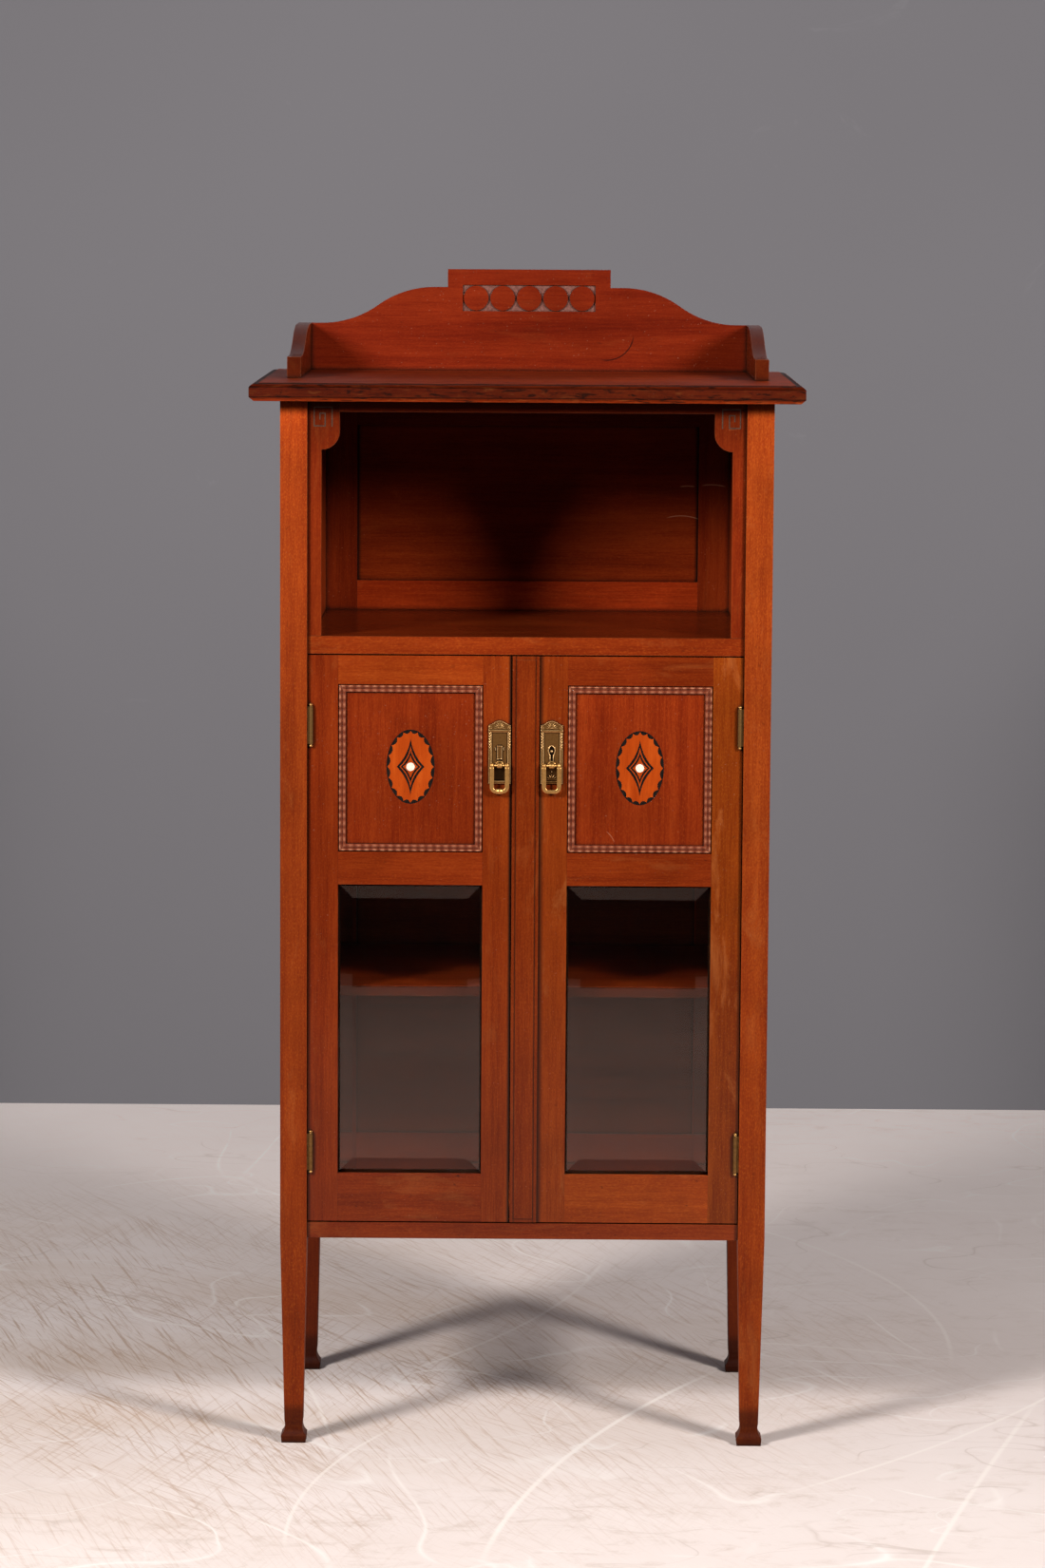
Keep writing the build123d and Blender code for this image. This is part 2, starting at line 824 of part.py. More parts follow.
def on_oval(number, count, inset):
    """One of so many points round the oval, this far inside its rim."""
    angle = math.pi / 2 + 2 * math.pi * number / count
    return ((oval_width / 2 - inset) * math.cos(angle), (oval_height / 2 - inset) * math.sin(angle))


def oval_outline():
    """The rim with two flat sides to each scallop."""
    rim = [on_oval(number, 2 * scallop_count, 0) for number in range(2 * scallop_count)]
    return make_face(Polyline(*rim, rim[0]))


def hollow_sided(corners, sag):
    """A closed figure whose corners are joined by curves that swell inwards."""
    outline = [corners[-1]]
    for start, end in zip([corners[-1]] + corners, corners):
        outline += bowed(start, end, sag, inlay_chords)[1:]
    return make_face(Polyline(*outline))


def lozenge(shares):
    """A four-pointed figure, as wide and as high as these shares of the oval."""
    half_width, half_height = shares[0] * oval_width / 2, shares[1] * oval_height / 2
    corners = [(half_width, 0), (0, half_height), (-half_width, 0), (0, -half_height)]
    return hollow_sided(corners, lozenge_sag_share * math.hypot(half_width, half_height))


oval_face = Pos(*oval_centre) * oval_outline()
cusps = [on_oval(number, scallop_count, scallop_rim) for number in range(scallop_count)]
scalloped = hollow_sided(cusps, scallop_bulge)
dark_figure = oval_outline() - scalloped
dark_figure += lozenge(outer_lozenge_shares) - lozenge(outer_lozenge_bore_shares)
dark_figure += lozenge(inner_lozenge_shares) - lozenge(inner_lozenge_bore_shares)
dark_face = Pos(*oval_centre) * dark_figure
pearl_face = Pos(*oval_centre) * RegularPolygon(pearl_diameter / 2, disc_sides)
oval_recess = front_profile(oval_face, door_panel_front, veneer)
inlay = {
    "inlay_ground": front_profile(oval_face - dark_face - pearl_face, door_panel_front, veneer),
    "inlay_dark": front_profile(dark_face, door_panel_front, veneer),
    "inlay_pearl": front_profile(pearl_face, door_panel_front, veneer),
}

right_door = {"hinge_stile": hinge_stile()}
for rail_name, rail_z in door_rails.items():
    right_door[rail_name] = door_member(light_x, rail_z)
right_door["panel"] = door_panel_solid - oval_recess
right_door["ripple_moulding"] = ripple_frame()
right_door["glass"] = glass_plate()
right_door["glazing_beads"] = glazing_beads()
right_door.update(inlay)
for piece_name, piece in right_door.items():
    pieces = piece if isinstance(piece, list) else [piece]
    save(f"door_right_{piece_name}", pieces)
    save(f"door_left_{piece_name}", [flipped(one) for one in pieces])

# Meeting stiles, the lock in the right one and its bolt hole in the left one
lock_y = (face_back_y - lock_depth, face_back_y)
lock_z = (keyhole_height - lock_height / 2, keyhole_height + lock_height / 2)
lock_right = door_light_inner - door_panel_tongue - lock_clearance
bolt_y = (lock_y[0] + lock_wall / 2, lock_y[0] + lock_wall / 2 + bolt_thickness)
bolt_z = (keyhole_height - bolt_height / 2, keyhole_height + bolt_height / 2)
lock_case = block((strip_left + lock_wall, lock_right), lock_y, lock_z)
lock_bolt = block((strip_left + bolt_inset, strip_left + lock_wall), bolt_y, bolt_z)
keyhole_face = Pos(plate_right_centre, keyhole_height) * RegularPolygon(keyhole_width / 2, bar_sides)
keyhole_face += Pos(plate_right_centre, keyhole_height - keyhole_slot_height / 2) * Rectangle(
    keyhole_slot_width,
    keyhole_slot_height,
)
keyway = front_profile(keyhole_face, face_front_y, lock_y[0] - face_front_y)
bolt_way = block((strip_left, strip_left + lock_wall), bolt_y, bolt_z)
right_meeting_stile = door_member((strip_left, door_light_inner), (door_bottom, door_top))
save("door_right_meeting_stile", right_meeting_stile - lock_case - bolt_way - keyway)
save("door_right_lock", lock_case + lock_bolt)

left_panel_cut = flipped(door_panel_solid)
left_glass_cut = flipped(glass_rebate_solid)
left_meeting_stile = block((-door_light_inner, left_door_inner), door_y, (door_bottom, door_top))
strike_hole = block(
    (left_door_inner - strike_depth, left_door_inner),
    widened(bolt_y, strike_play),
    widened(bolt_z, strike_play),
)
save("door_left_meeting_stile", left_meeting_stile - left_panel_cut - left_glass_cut - strike_hole)


# Centre strip: a flat bar with a rebated edge on all four sides
def centre_strip():
    right = strip_left + strip_width
    front = face_front_y - strip_proud
    body = block((strip_left, right), (front + strip_rebate_depth, face_front_y), (door_bottom, door_top))
    body += block(
        (strip_left + strip_rebate_width, right - strip_rebate_width),
        (front, face_front_y),
        (door_bottom + strip_rebate_width, door_top - strip_rebate_width),
    )
    return body


save("door_right_centre_strip", centre_strip())


# Brass plate with an arched crown, a raised border and the hanger for the bail
def plate_outline():
    half = plate_width / 2
    outline = Polyline(
        (-half, plate_shoulder),
        (-half, plate_bottom),
        (half, plate_bottom),
        (half, plate_shoulder),
    )
    outline += s_curve((half, plate_shoulder), (plate_crown_half, plate_crown))
    outline += Line((plate_crown_half, plate_crown), (-plate_crown_half, plate_crown))
    outline += s_curve((-half, plate_shoulder), (-plate_crown_half, plate_crown))
    return make_face(outline)


def plate_blank():
    blank = front_profile(plate_outline(), plate_front, plate_thickness)
    half = plate_width / 2 - plate_border
    sunk = block(
        (-half, half),
        (plate_front, plate_front + plate_sunk_depth),
        (plate_bottom + plate_border, plate_shoulder - plate_sunk_drop),
    )
    bar_low = plate_shoulder - plate_sunk_drop + plate_border
    bar = block(
        (-plate_width / 2, plate_width / 2),
        (plate_front - plate_sunk_depth, plate_front),
        (bar_low, bar_low + plate_bar_height),
    )
    return blank - sunk + bar


def pivot_eye():
    """The eye that the bail's pin runs through, on its neck."""
    place = Pos(0, pivot_y, pivot_height) * Rot(0, 90, 0)
    neck = block(
        (-pivot_eye_width / 2, pivot_eye_width / 2),
        (pivot_y, plate_front + plate_sunk_depth),
        (pivot_height - pivot_neck_width / 2, pivot_height + pivot_neck_width / 2),
    )
    bore = place * round_bore(pivot_pin_radius + pivot_play, plate_width)
    return place * round_bar(pivot_eye_radius, pivot_eye_width) + neck, bore


eye, eye_bore = pivot_eye()
plain_plate = plate_blank() + eye
sunk_face_y = plate_front + plate_sunk_depth

# The left plate has a blind bar over the eye, the right one the keyhole with its raised rim
hanger_bar = block(
    (-hanger_width / 2, hanger_width / 2),
    (sunk_face_y - hanger_proud, sunk_face_y),
    (pivot_height + hanger_rise, pivot_height + hanger_rise + hanger_height),
)
left_plate = plain_plate + hanger_bar - eye_bore
save("door_left_handle_plate", Pos(plate_left_centre, 0, 0) * left_plate)

rim_height = keyhole_slot_height + keyhole_rim
rim_face = Pos(0, keyhole_height) * RegularPolygon(keyhole_width / 2 + keyhole_rim, bar_sides)
rim_face += Pos(0, keyhole_height - rim_height / 2) * Rectangle(keyhole_slot_width + 2 * keyhole_rim, rim_height)
rim = front_profile(rim_face, sunk_face_y - keyhole_rim_proud, keyhole_rim_proud)
plate_keyway = front_profile(
    Pos(-plate_right_centre, 0) * keyhole_face,
    plate_front - overrun,
    plate_thickness + overrun,
)
right_plate = plain_plate + rim - eye_bore - plate_keyway
save("door_right_handle_plate", Pos(plate_right_centre, 0, 0) * right_plate)


# Drop bail: two flat bars joined by a rounded foot, with round ears and the pin between them
def bail_outline(half_width, bottom, radius):
    """A U with rounded corners at its foot, each bent in a few flats."""
    outline = [(half_width, pivot_height)]
    for side, first_angle in ((1, 0), (-1, -math.pi / 2)):
        for number in range(bail_bend_flats + 1):
            angle = first_angle - math.pi / 2 * number / bail_bend_flats
            across = side * (half_width - radius) + radius * math.cos(angle)
            outline.append((across, bottom + radius + radius * math.sin(angle)))
    outline.append((-half_width, pivot_height))
    return make_face(Polyline(*outline, outline[0]))


def bail(with_boss):
    half_outer = bail_outer_width / 2
    half_inner = half_outer - bail_bar_width
    bottom = pivot_height - bail_drop
    outer = bail_outline(half_outer, bottom, bail_outer_radius)
    inner = bail_outline(half_inner, bottom + bail_foot_height, bail_inner_radius)
    front = pivot_y - bail_thickness / 2
    loop = front_profile(outer, front, bail_thickness) - front_profile(inner, front, bail_thickness)
    rims = loop.faces().sort_by(Axis.Y)
    loop = chamfer(rims[0].outer_wire().edges().filter_by(GeomType.LINE).filter_by(Axis.Z), bail_edge_chamfer)
    ear_x = half_outer - bail_bar_width / 2
    for side in (1, -1):
        loop += Pos(side * ear_x, pivot_y, pivot_height) * Rot(0, 90, 0) * round_bar(bail_ear_radius, bail_bar_width)
    pin = Pos(0, pivot_y, pivot_height) * Rot(0, 90, 0) * round_bar(pivot_pin_radius, 2 * ear_x)
    loop += pin
    if with_boss:
        loop += block(
            (-bail_boss_width / 2, bail_boss_width / 2),
            (front - bail_boss_proud, front + bail_thickness / 2),
            (bottom - bail_boss_proud, bottom + bail_boss_height),
        )
    return loop


save("bail_left", Pos(plate_left_centre, 0, 0) * bail(True))
save("bail_right", Pos(plate_right_centre, 0, 0) * bail(False))

print("hinge axis x, y:", hinge_axis_x, hinge_axis_y)
print("bail pivot y, z:", pivot_y, pivot_height)
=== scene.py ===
# %% [markdown]
# A glass display cabinet, dressed for a studio picture.
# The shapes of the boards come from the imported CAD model. This file gives them their wood, metal
# and glass, adds the fine pieces that a CAD model leaves out, and sets the floor, lamps and camera.
# All lengths are in metres: +Z is up, and the front of the cabinet faces -Y.

# %% Load the fixed frame
import bpy
import bmesh
import math
import random
from mathutils import Matrix, Quaternion, Vector


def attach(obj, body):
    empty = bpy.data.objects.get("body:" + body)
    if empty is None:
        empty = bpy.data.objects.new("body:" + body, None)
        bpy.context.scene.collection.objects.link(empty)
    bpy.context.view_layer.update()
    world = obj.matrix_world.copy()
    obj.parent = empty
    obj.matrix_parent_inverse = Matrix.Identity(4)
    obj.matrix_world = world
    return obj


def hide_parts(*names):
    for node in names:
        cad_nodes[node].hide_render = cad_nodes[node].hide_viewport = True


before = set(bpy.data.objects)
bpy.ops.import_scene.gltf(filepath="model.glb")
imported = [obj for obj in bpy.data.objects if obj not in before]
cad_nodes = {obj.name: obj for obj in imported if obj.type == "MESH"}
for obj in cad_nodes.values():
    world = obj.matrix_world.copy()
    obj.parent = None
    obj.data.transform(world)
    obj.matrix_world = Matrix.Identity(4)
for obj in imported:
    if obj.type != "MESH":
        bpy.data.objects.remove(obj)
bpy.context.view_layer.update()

# %% [markdown]
# The camera first, because it fixes what has to be seen. It stands about six metres away, at head
# height, and looks a little down with a long lens, so the upright edges stay almost parallel.
# The frame is 1100 by 1650, so the lens is worked out on the height of the picture.

# %% Camera
PICTURE_HEIGHT = 1650.0
FOCAL_PIXELS = 5080.6
SENSOR_MM = 36.0
camera_place = Vector((0.0221, -6.0502, 1.5592))
camera_yaw = -0.0043
camera_pitch = 0.1239
camera_roll = 0.0061

level_ahead = Vector((math.sin(camera_yaw), math.cos(camera_yaw), 0))
level_right = Vector((math.cos(camera_yaw), -math.sin(camera_yaw), 0))
straight_up = Vector((0, 0, 1))
looking = level_ahead * math.cos(camera_pitch) - straight_up * math.sin(camera_pitch)
upright = straight_up * math.cos(camera_pitch) + level_ahead * math.sin(camera_pitch)
camera_right = level_right * math.cos(camera_roll) + upright * math.sin(camera_roll)
camera_up = upright * math.cos(camera_roll) - level_right * math.sin(camera_roll)

camera_data = bpy.data.cameras.new("camera")
camera_data.sensor_fit = "VERTICAL"
camera_data.sensor_height = SENSOR_MM
camera_data.lens = FOCAL_PIXELS / PICTURE_HEIGHT * SENSOR_MM
camera_data.clip_end = 50
camera = bpy.data.objects.new("camera", camera_data)
bpy.context.scene.collection.objects.link(camera)
camera.matrix_world = Matrix.Translation(camera_place) @ Matrix(
    (camera_right, camera_up, -looking)
).transposed().to_4x4()
bpy.context.scene.camera = camera
bpy.context.scene.view_settings.view_transform = "Standard"
print("lens:", round(camera_data.lens, 1), "mm")

# %% [markdown]
# Two soft lamps stand in front, one on each side and a little higher than the cabinet. The shadows
# tell where. Each leg throws one back to the left and one to the right. The floor under the middle
# of the carcass gets no light, so the lamps are over 25 degrees up as seen from there. Light still
# gets in under the top board, to the upper corners of the niche, so their lower edges are not far
# above the niche. Both hold only for lamps some three and a half metres away. The dark part of
# the niche is a V, narrow at its foot, so the tops of the lamps lean in towards the middle.

# %% Lamps in front
LAMP_LEFT = (-2.10, -2.44, 2.33)
LAMP_RIGHT = (2.36, -2.55, 2.33)
LAMP_COLOUR = (1.0, 0.96, 0.93)
LAMP_WIDTH = 0.62
LAMP_TALL = 0.80
LAMP_LEAN = math.radians(24)
LAMP_WATTS = 139.0
lamp_aim = Vector((0, 0, 0.9))


def soft_lamp(name, place, lean):
    data = bpy.data.lights.new(name, "AREA")
    data.shape = "RECTANGLE"
    data.size = LAMP_WIDTH
    data.size_y = LAMP_TALL
    data.energy = LAMP_WATTS
    data.color = LAMP_COLOUR
    lamp = bpy.data.objects.new(name, data)
    bpy.context.scene.collection.objects.link(lamp)
    lamp.location = place
    turn = (lamp_aim - Vector(place)).to_track_quat("-Z", "Y") @ Quaternion((0, 0, 1), lean)
    lamp.rotation_euler = turn.to_euler()
    return lamp


soft_lamp("lamp_left", LAMP_LEFT, -LAMP_LEAN)
soft_lamp("lamp_right", LAMP_RIGHT, LAMP_LEAN)
print("front lamps:", LAMP_LEFT, LAMP_RIGHT)

# %% [markdown]
# A third lamp stands beside the wall, for whoever walks round to the back. The photograph has no
# light from there. A stronger world would light the back too, but the front as well, so a lamp is
# the better way. It is linked to the cabinet alone further down, once the floor is made.

# %% Lamp behind
BACK_LAMP = (0.9, 1.90, 2.0)
BACK_WATTS = 85.0
back_lamp = soft_lamp("lamp_back", BACK_LAMP, 0)
back_lamp.data.energy = BACK_WATTS
back_lamp.visible_camera = False
back_lamp.visible_glossy = False
print("back lamp:", BACK_LAMP)

# %% [markdown]
# The world is what shines in from all round the lamps: a very weak bluish grey here, since the
# studio was dark. A view from behind looks past the floor into nothing. The camera sees plain grey
# there, as bright as the wall, while the light on the cabinet stays as it was.

# %% World
WORLD_STRENGTH = 0.006
WALL_GREY = (0.19, 0.186, 0.205)

world = bpy.data.worlds.new("studio")
bpy.context.scene.world = world
world.use_nodes = True
sky = world.node_tree.nodes["Background"]
sky.inputs["Color"].default_value = (0.95, 0.95, 1.0, 1)
sky.inputs["Strength"].default_value = WORLD_STRENGTH

sky_nodes, sky_links = world.node_tree.nodes, world.node_tree.links
seen_sky = sky_nodes.new("ShaderNodeBackground")
seen_sky.inputs["Color"].default_value = (*WALL_GREY, 1)
camera_or_not = sky_nodes.new("ShaderNodeMixShader")
sky_ray = sky_nodes.new("ShaderNodeLightPath")
sky_links.new(sky_ray.outputs["Is Camera Ray"], camera_or_not.inputs[0])
sky_links.new(sky.outputs[0], camera_or_not.inputs[1])
sky_links.new(seen_sky.outputs[0], camera_or_not.inputs[2])
sky_links.new(camera_or_not.outputs[0], sky_nodes["World Output"].inputs["Surface"])
print("world strength:", WORLD_STRENGTH)

# %% [markdown]
# Small helpers for materials. A material is a chain of nodes, and most chains here start from
# object coordinates: the CAD pieces keep their place in their own mesh, so the figure of the wood
# stays fixed to a board when a door opens.

# %% Node helpers


class Chain:
    """A material under construction, with short ways to add and join its nodes."""

    def __init__(self, name):
        self.material = bpy.data.materials.new(name)
        self.material.use_nodes = True
        self.nodes = self.material.node_tree.nodes
        self.links = self.material.node_tree.links
        self.shader = self.nodes["Principled BSDF"]
        self.output = self.nodes["Material Output"]

    def add(self, kind, inputs=None, **settings):
        node = self.nodes.new(kind)
        for key, value in settings.items():
            setattr(node, key, value)
        for key, value in (inputs or {}).items():
            self.set(node.inputs[key], value)
        return node

    def set(self, socket, value):
        if isinstance(value, bpy.types.NodeSocket):
            self.links.new(value, socket)
        else:
            socket.default_value = value

    def math(self, operation, first, second=0.0, clamp=False):
        node = self.add("ShaderNodeMath", operation=operation, use_clamp=clamp)
        self.set(node.inputs[0], first)
        self.set(node.inputs[1], second)
        return node.outputs[0]

    def ramp(self, value, stops):
        """Colours or grey levels at places from 0 to 1."""
        node = self.add("ShaderNodeValToRGB")
        self.set(node.inputs[0], value)
        band = node.color_ramp
        while len(band.elements) < len(stops):
            band.elements.new(0.5)
        for element, (place, colour) in zip(band.elements, stops):
            element.position = place
            element.color = (*colour, 1)
        return node.outputs[0]

    def mix(self, share, first, second, blend="MIX"):
        node = self.add("ShaderNodeMix", data_type="RGBA", blend_type=blend)
        self.set(node.inputs[0], share)
        self.set(node.inputs[6], first)
        self.set(node.inputs[7], second)
        return node.outputs[2]

    def place(self, scale=(1, 1, 1), offset=(0, 0, 0), turn=(0, 0, 0)):
        """Object coordinates, moved, turned and stretched."""
        coordinates = self.add("ShaderNodeTexCoord").outputs["Object"]
        if any(turn):
            coordinates = self.add("ShaderNodeMapping", {"Vector": coordinates, "Rotation": turn}).outputs[0]
        node = self.add("ShaderNodeMapping", {"Vector": coordinates, "Location": offset, "Scale": scale})
        return node.outputs[0]

    def noise(self, vector, scale=1.0, detail=3.0, roughness=0.55, distortion=0.0):
        node = self.add("ShaderNodeTexNoise", {
            "Vector": vector, "Scale": scale, "Detail": detail,
            "Roughness": roughness, "Distortion": distortion,
        })
        return node.outputs["Fac"]

    def distance(self, place):
        """How far a point of the surface is from this place."""
        coordinates = self.add("ShaderNodeTexCoord").outputs["Object"]
        node = self.add("ShaderNodeVectorMath", {0: coordinates, 1: place}, operation="DISTANCE")
        return node.outputs["Value"]

    def scratch(self, start, middle, end, width):
        """A fine line, part of the circle through three points that lie in one upright or level plane."""
        first, second, third = Vector(start), Vector(middle), Vector(end)
        to_second, to_third = second - first, third - first
        normal = to_second.cross(to_third)
        centre = first + (to_third.length_squared * normal.cross(to_second)
                          + to_second.length_squared * to_third.cross(normal)) / (2 * normal.length_squared)
        away = self.math("ABSOLUTE", self.math("SUBTRACT", self.distance(centre), (first - centre).length))
        line = self.ramp(self.math("DIVIDE", away, width, clamp=True), [(0.3, grey(1)), (1.0, grey(0))])
        longest = max(to_second.length, (third - second).length)
        near = self.math("DIVIDE", self.distance(second), longest, clamp=True)
        window = self.ramp(near, [(0.7, grey(1)), (1.0, grey(0))])
        return self.math("MULTIPLY", line, window)

    def bump(self, height, strength, distance):
        node = self.add("ShaderNodeBump", {"Height": height, "Strength": strength, "Distance": distance})
        self.links.new(node.outputs[0], self.shader.inputs["Normal"])
        return node

    def finish(self, **sockets):
        for key, value in sockets.items():
            self.set(self.shader.inputs[key.replace("_", " ")], value)
        return self.material


# %% [markdown]
# Polished mahogany. Seen close, the real wood has soft ribbons along the grain, short bright flecks
# where the fibres turn, and open pores that show as fine dark dashes. A noise for each, stretched
# along the grain by its own amount, gives these. The polish over them is a thin clear coat, and the
# wood under it hardly shines, so that the red stays deep. Each board has its own seed and tone,
# because no two boards come from the same place in a log. Years of use add more layers: a few paler
# patches rubbed thin and small dark dents. Every corner and gap is painted black, as old polish and
# as painted shade, wherever the ambient occlusion node finds one. The wood gets darker towards the bottom.

# %% Mahogany
GRAIN_AXES = {"X": (1, 0, 0), "Y": (0, 1, 0), "Z": (0, 0, 1)}
FOOT_SHADE = 0.62
SHADE_TOP = 1.3
CORNER_REACH = 0.007
HEAVY_DENTS = 0.8
# Black of old polish, also used as painted shade in corners, gaps and pits.
BLACK_POLISH_AND_SHADE = (0.010, 0.004, 0.002, 1)


def along(grain, length_scale, cross_scale):
    """Scale for a pattern that is long in the direction of the grain."""
    return tuple(length_scale if part else cross_scale for part in GRAIN_AXES[grain])


def grey(level):
    return (level, level, level)


def board_colours(tone, red):
    """Four colours of one board, from its darkest line to its brightest fleck."""
    green = 1 - red
    dark = (0.140 * tone, 0.0130 * tone * green, 0.0016 * tone)
    middle = (0.215 * tone, 0.0255 * tone * green, 0.0028 * tone)
    light = (0.290 * tone, 0.0430 * tone * green, 0.0050 * tone)
    bright = (0.400 * tone, 0.0800 * tone * green, 0.0095 * tone)
    return dark, middle, light, bright


def wood_figure(wood, grain, offset, tone, red, fleck):
    """The wood as it was cut: its colour, its broad blotches, and the relief of fibres and pores."""
    dark, middle, light, bright = board_colours(tone, red)
    broad = wood.noise(wood.place(along(grain, 0.9, 15), offset), 1.0, 2, 0.5, 0.3)
    ribbons = wood.noise(wood.place(along(grain, 2.4, 75), offset), 1.0, 3, 0.55, 0.3)
    fibres = wood.noise(wood.place(along(grain, 25, 520), offset), 1.0, 3, 0.6)
    flecks = wood.noise(wood.place(along(grain, 330, 820), offset), 1.0, 2, 0.5)
    pores = wood.noise(wood.place(along(grain, 130, 2000), offset), 1.0, 1, 0.5)
    blotches = wood.noise(wood.place((7, 7, 7), offset), 1.0, 3, 0.6, 0.4)
    figure = wood.math("ADD", wood.math("MULTIPLY", broad, 0.34), wood.math("MULTIPLY", ribbons, 0.33))
    figure = wood.math("ADD", figure, wood.math("MULTIPLY", fibres, 0.33))
    colour = wood.ramp(figure, [(0.37, dark), (0.50, middle), (0.64, light)])
    bright_flecks = wood.ramp(flecks, [(0.54, grey(0)), (0.70, grey(1))])
    colour = wood.mix(wood.math("MULTIPLY", bright_flecks, fleck), colour, (*bright, 1))
    dark_flecks = wood.ramp(flecks, [(0.32, grey(1)), (0.47, grey(0))])
    colour = wood.mix(wood.math("MULTIPLY", dark_flecks, fleck), colour, (*dark, 1))
    shade = wood.ramp(blotches, [(0.32, grey(0.80)), (0.62, grey(1.05))])
    colour = wood.mix(1.0, colour, shade, "MULTIPLY")
    pore_mask = wood.ramp(pores, [(0.57, grey(0)), (0.68, grey(1))])
    colour = wood.mix(wood.math("MULTIPLY", pore_mask, 0.45), colour, (*dark, 1))
    relief = wood.math("SUBTRACT", wood.math("MULTIPLY", fibres, 0.25), pore_mask)
    return colour, blotches, relief


# %% Signs of use


def signs_of_use(wood, colour, grain, offset, tone, rubbed, dents, wear):
    """Patches rubbed pale, dark dents, pale specks, and scuffs on a board that took most of the knocks."""
    rubs = wood.noise(wood.place(along(grain, 9, 30), offset), 1.0, 5, 0.7, 0.6)
    rub_mask = wood.ramp(rubs, [(0.57, grey(0)), (0.72, grey(1))])
    pale = (0.34 * tone, 0.095 * tone, 0.022 * tone, 1)
    colour = wood.mix(wood.math("MULTIPLY", rub_mask, rubbed), colour, pale)
    marks = wood.noise(wood.place(along(grain, 90, 150), offset), 1.0, 2, 0.5)
    dent_mask = wood.ramp(marks, [(0.70, grey(0)), (0.76, grey(1))])
    colour = wood.mix(wood.math("MULTIPLY", dent_mask, dents), colour, (0.02, 0.004, 0.002, 1))
    specks = wood.noise(wood.place((520, 520, 520), offset), 1.0, 0, 0.5)
    speck_mask = wood.ramp(specks, [(0.83, grey(0)), (0.86, grey(1))])
    colour = wood.mix(wood.math("MULTIPLY", speck_mask, 0.25), colour, (0.45, 0.20, 0.12, 1))
    if dents > HEAVY_DENTS:
        scuffs = wood.noise(wood.place(along(grain, 42, 240), offset), 1.0, 4, 0.7, 0.6)
        worn = wood.ramp(scuffs, [(0.33, grey(0.35)), (0.42, grey(0))])
        colour = wood.mix(worn, colour, (0.50 * tone, 0.15 * tone, 0.035 * tone, 1))
        black = wood.ramp(scuffs, [(0.54, grey(0)), (0.62, grey(0.85))])
        colour = wood.mix(black, colour, BLACK_POLISH_AND_SHADE)
    if wear > 0:
        colour = wood.mix(wear, colour, (0.42, 0.12, 0.035, 1))
    return colour


# %% Marks and painted light and shade that have one place on the cabinet


def placed_marks_and_shade(wood, colour, levels, seams_and_shadows, scratches, back):
    """Levels is a list of (height, share of the tone) for a board whose tone changes with the height, which
    on some boards paints light and shade.

    Seams are black lines along the height, of old polish and painted shade: (place across, half width,
    strength).
    Scratches are three points, a width, a strength and a colour. Back is (depth, share of the tone)
    for a board whose rear face is darker and has no scratches.
    """
    place = wood.add("ShaderNodeTexCoord").outputs["Object"]
    across, depth, height = wood.add("ShaderNodeSeparateXYZ", {0: place}).outputs
    share = wood.math("DIVIDE", height, SHADE_TOP, clamp=True)
    shade = wood.ramp(share, [(0.0, grey(FOOT_SHADE)), (0.65, grey(0.86)), (1.0, grey(1.08))])
    colour = wood.mix(1.0, colour, shade, "MULTIPLY")
    if levels:
        lowest, highest = levels[0][0], levels[-1][0]
        share = wood.math("DIVIDE", wood.math("SUBTRACT", height, lowest), highest - lowest, clamp=True)
        stops = [((level - lowest) / (highest - lowest), grey(part)) for level, part in levels]
        shade = wood.ramp(share, stops)
        colour = wood.mix(1.0, colour, shade, "MULTIPLY")
    # Painted shade with old polish: black lines in the gaps, beside the raised strip and round the recessed
    # panel.
    for line_place, half_width, strength in seams_and_shadows:
        away = wood.math("ABSOLUTE", wood.math("SUBTRACT", across, line_place))
        away = wood.math("DIVIDE", away, half_width, clamp=True)
        colour = wood.mix(wood.ramp(away, [(0.2, grey(strength)), (1.0, grey(0))]), colour, BLACK_POLISH_AND_SHADE)
    behind = 0.0
    if back:
        behind = wood.math("GREATER_THAN", depth, back[0])
        colour = wood.mix(wood.math("MULTIPLY", behind, 1 - back[1]), colour, (0, 0, 0, 1))
    for points, width, strength, scratch_colour in scratches:
        line = wood.math("MULTIPLY", wood.scratch(*points, width), strength)
        line = wood.math("MULTIPLY", line, wood.math("SUBTRACT", 1.0, behind))
        colour = wood.mix(line, colour, scratch_colour)
    return colour


# %% The whole material


def mahogany(name, grain, seed, tone, red, wear, rubbed, dents, fleck, marks, gloss, coat):
    """One board's wood. Marks are its levels, seams with painted shade, scratches and back."""
    wood = Chain(name)
    offset = (seed * 1.37, seed * 2.11, seed * 0.73)
    colour, blotches, relief = wood_figure(wood, grain, offset, tone, red, fleck)
    colour = signs_of_use(wood, colour, grain, offset, tone, rubbed, dents, wear)
    colour = placed_marks_and_shade(wood, colour, *marks)
    # Painted shade with old polish: black in every corner and gap that the ambient occlusion node finds.
    corners = wood.add("ShaderNodeAmbientOcclusion", {"Distance": CORNER_REACH}, samples=5).outputs["AO"]
    unshaded_share = wood.ramp(corners, [(0.45, grey(0)), (0.86, grey(1))])
    colour = wood.mix(unshaded_share, BLACK_POLISH_AND_SHADE, colour)
    roughness = wood.ramp(blotches, [(0.25, grey(0.42)), (0.75, grey(0.52))])
    wood.bump(relief, 0.12, 0.0001)
    return wood.finish(Base_Color=colour, Roughness=roughness, Specular_IOR_Level=0.03,
                       Coat_Weight=coat, Coat_Roughness=gloss)


# %% [markdown]
# The edges of old furniture are never sharp: hands and cloths have rounded them and taken off some
# of the polish. A bevel modifier rounds them here, and it puts a paler wood on the faces it makes.
# The modifiers work on top of the CAD mesh and leave the mesh itself alone.

# %% Softened edges
MERGE_DISTANCE = 0.00001
SHARP_ANGLE = math.radians(30)


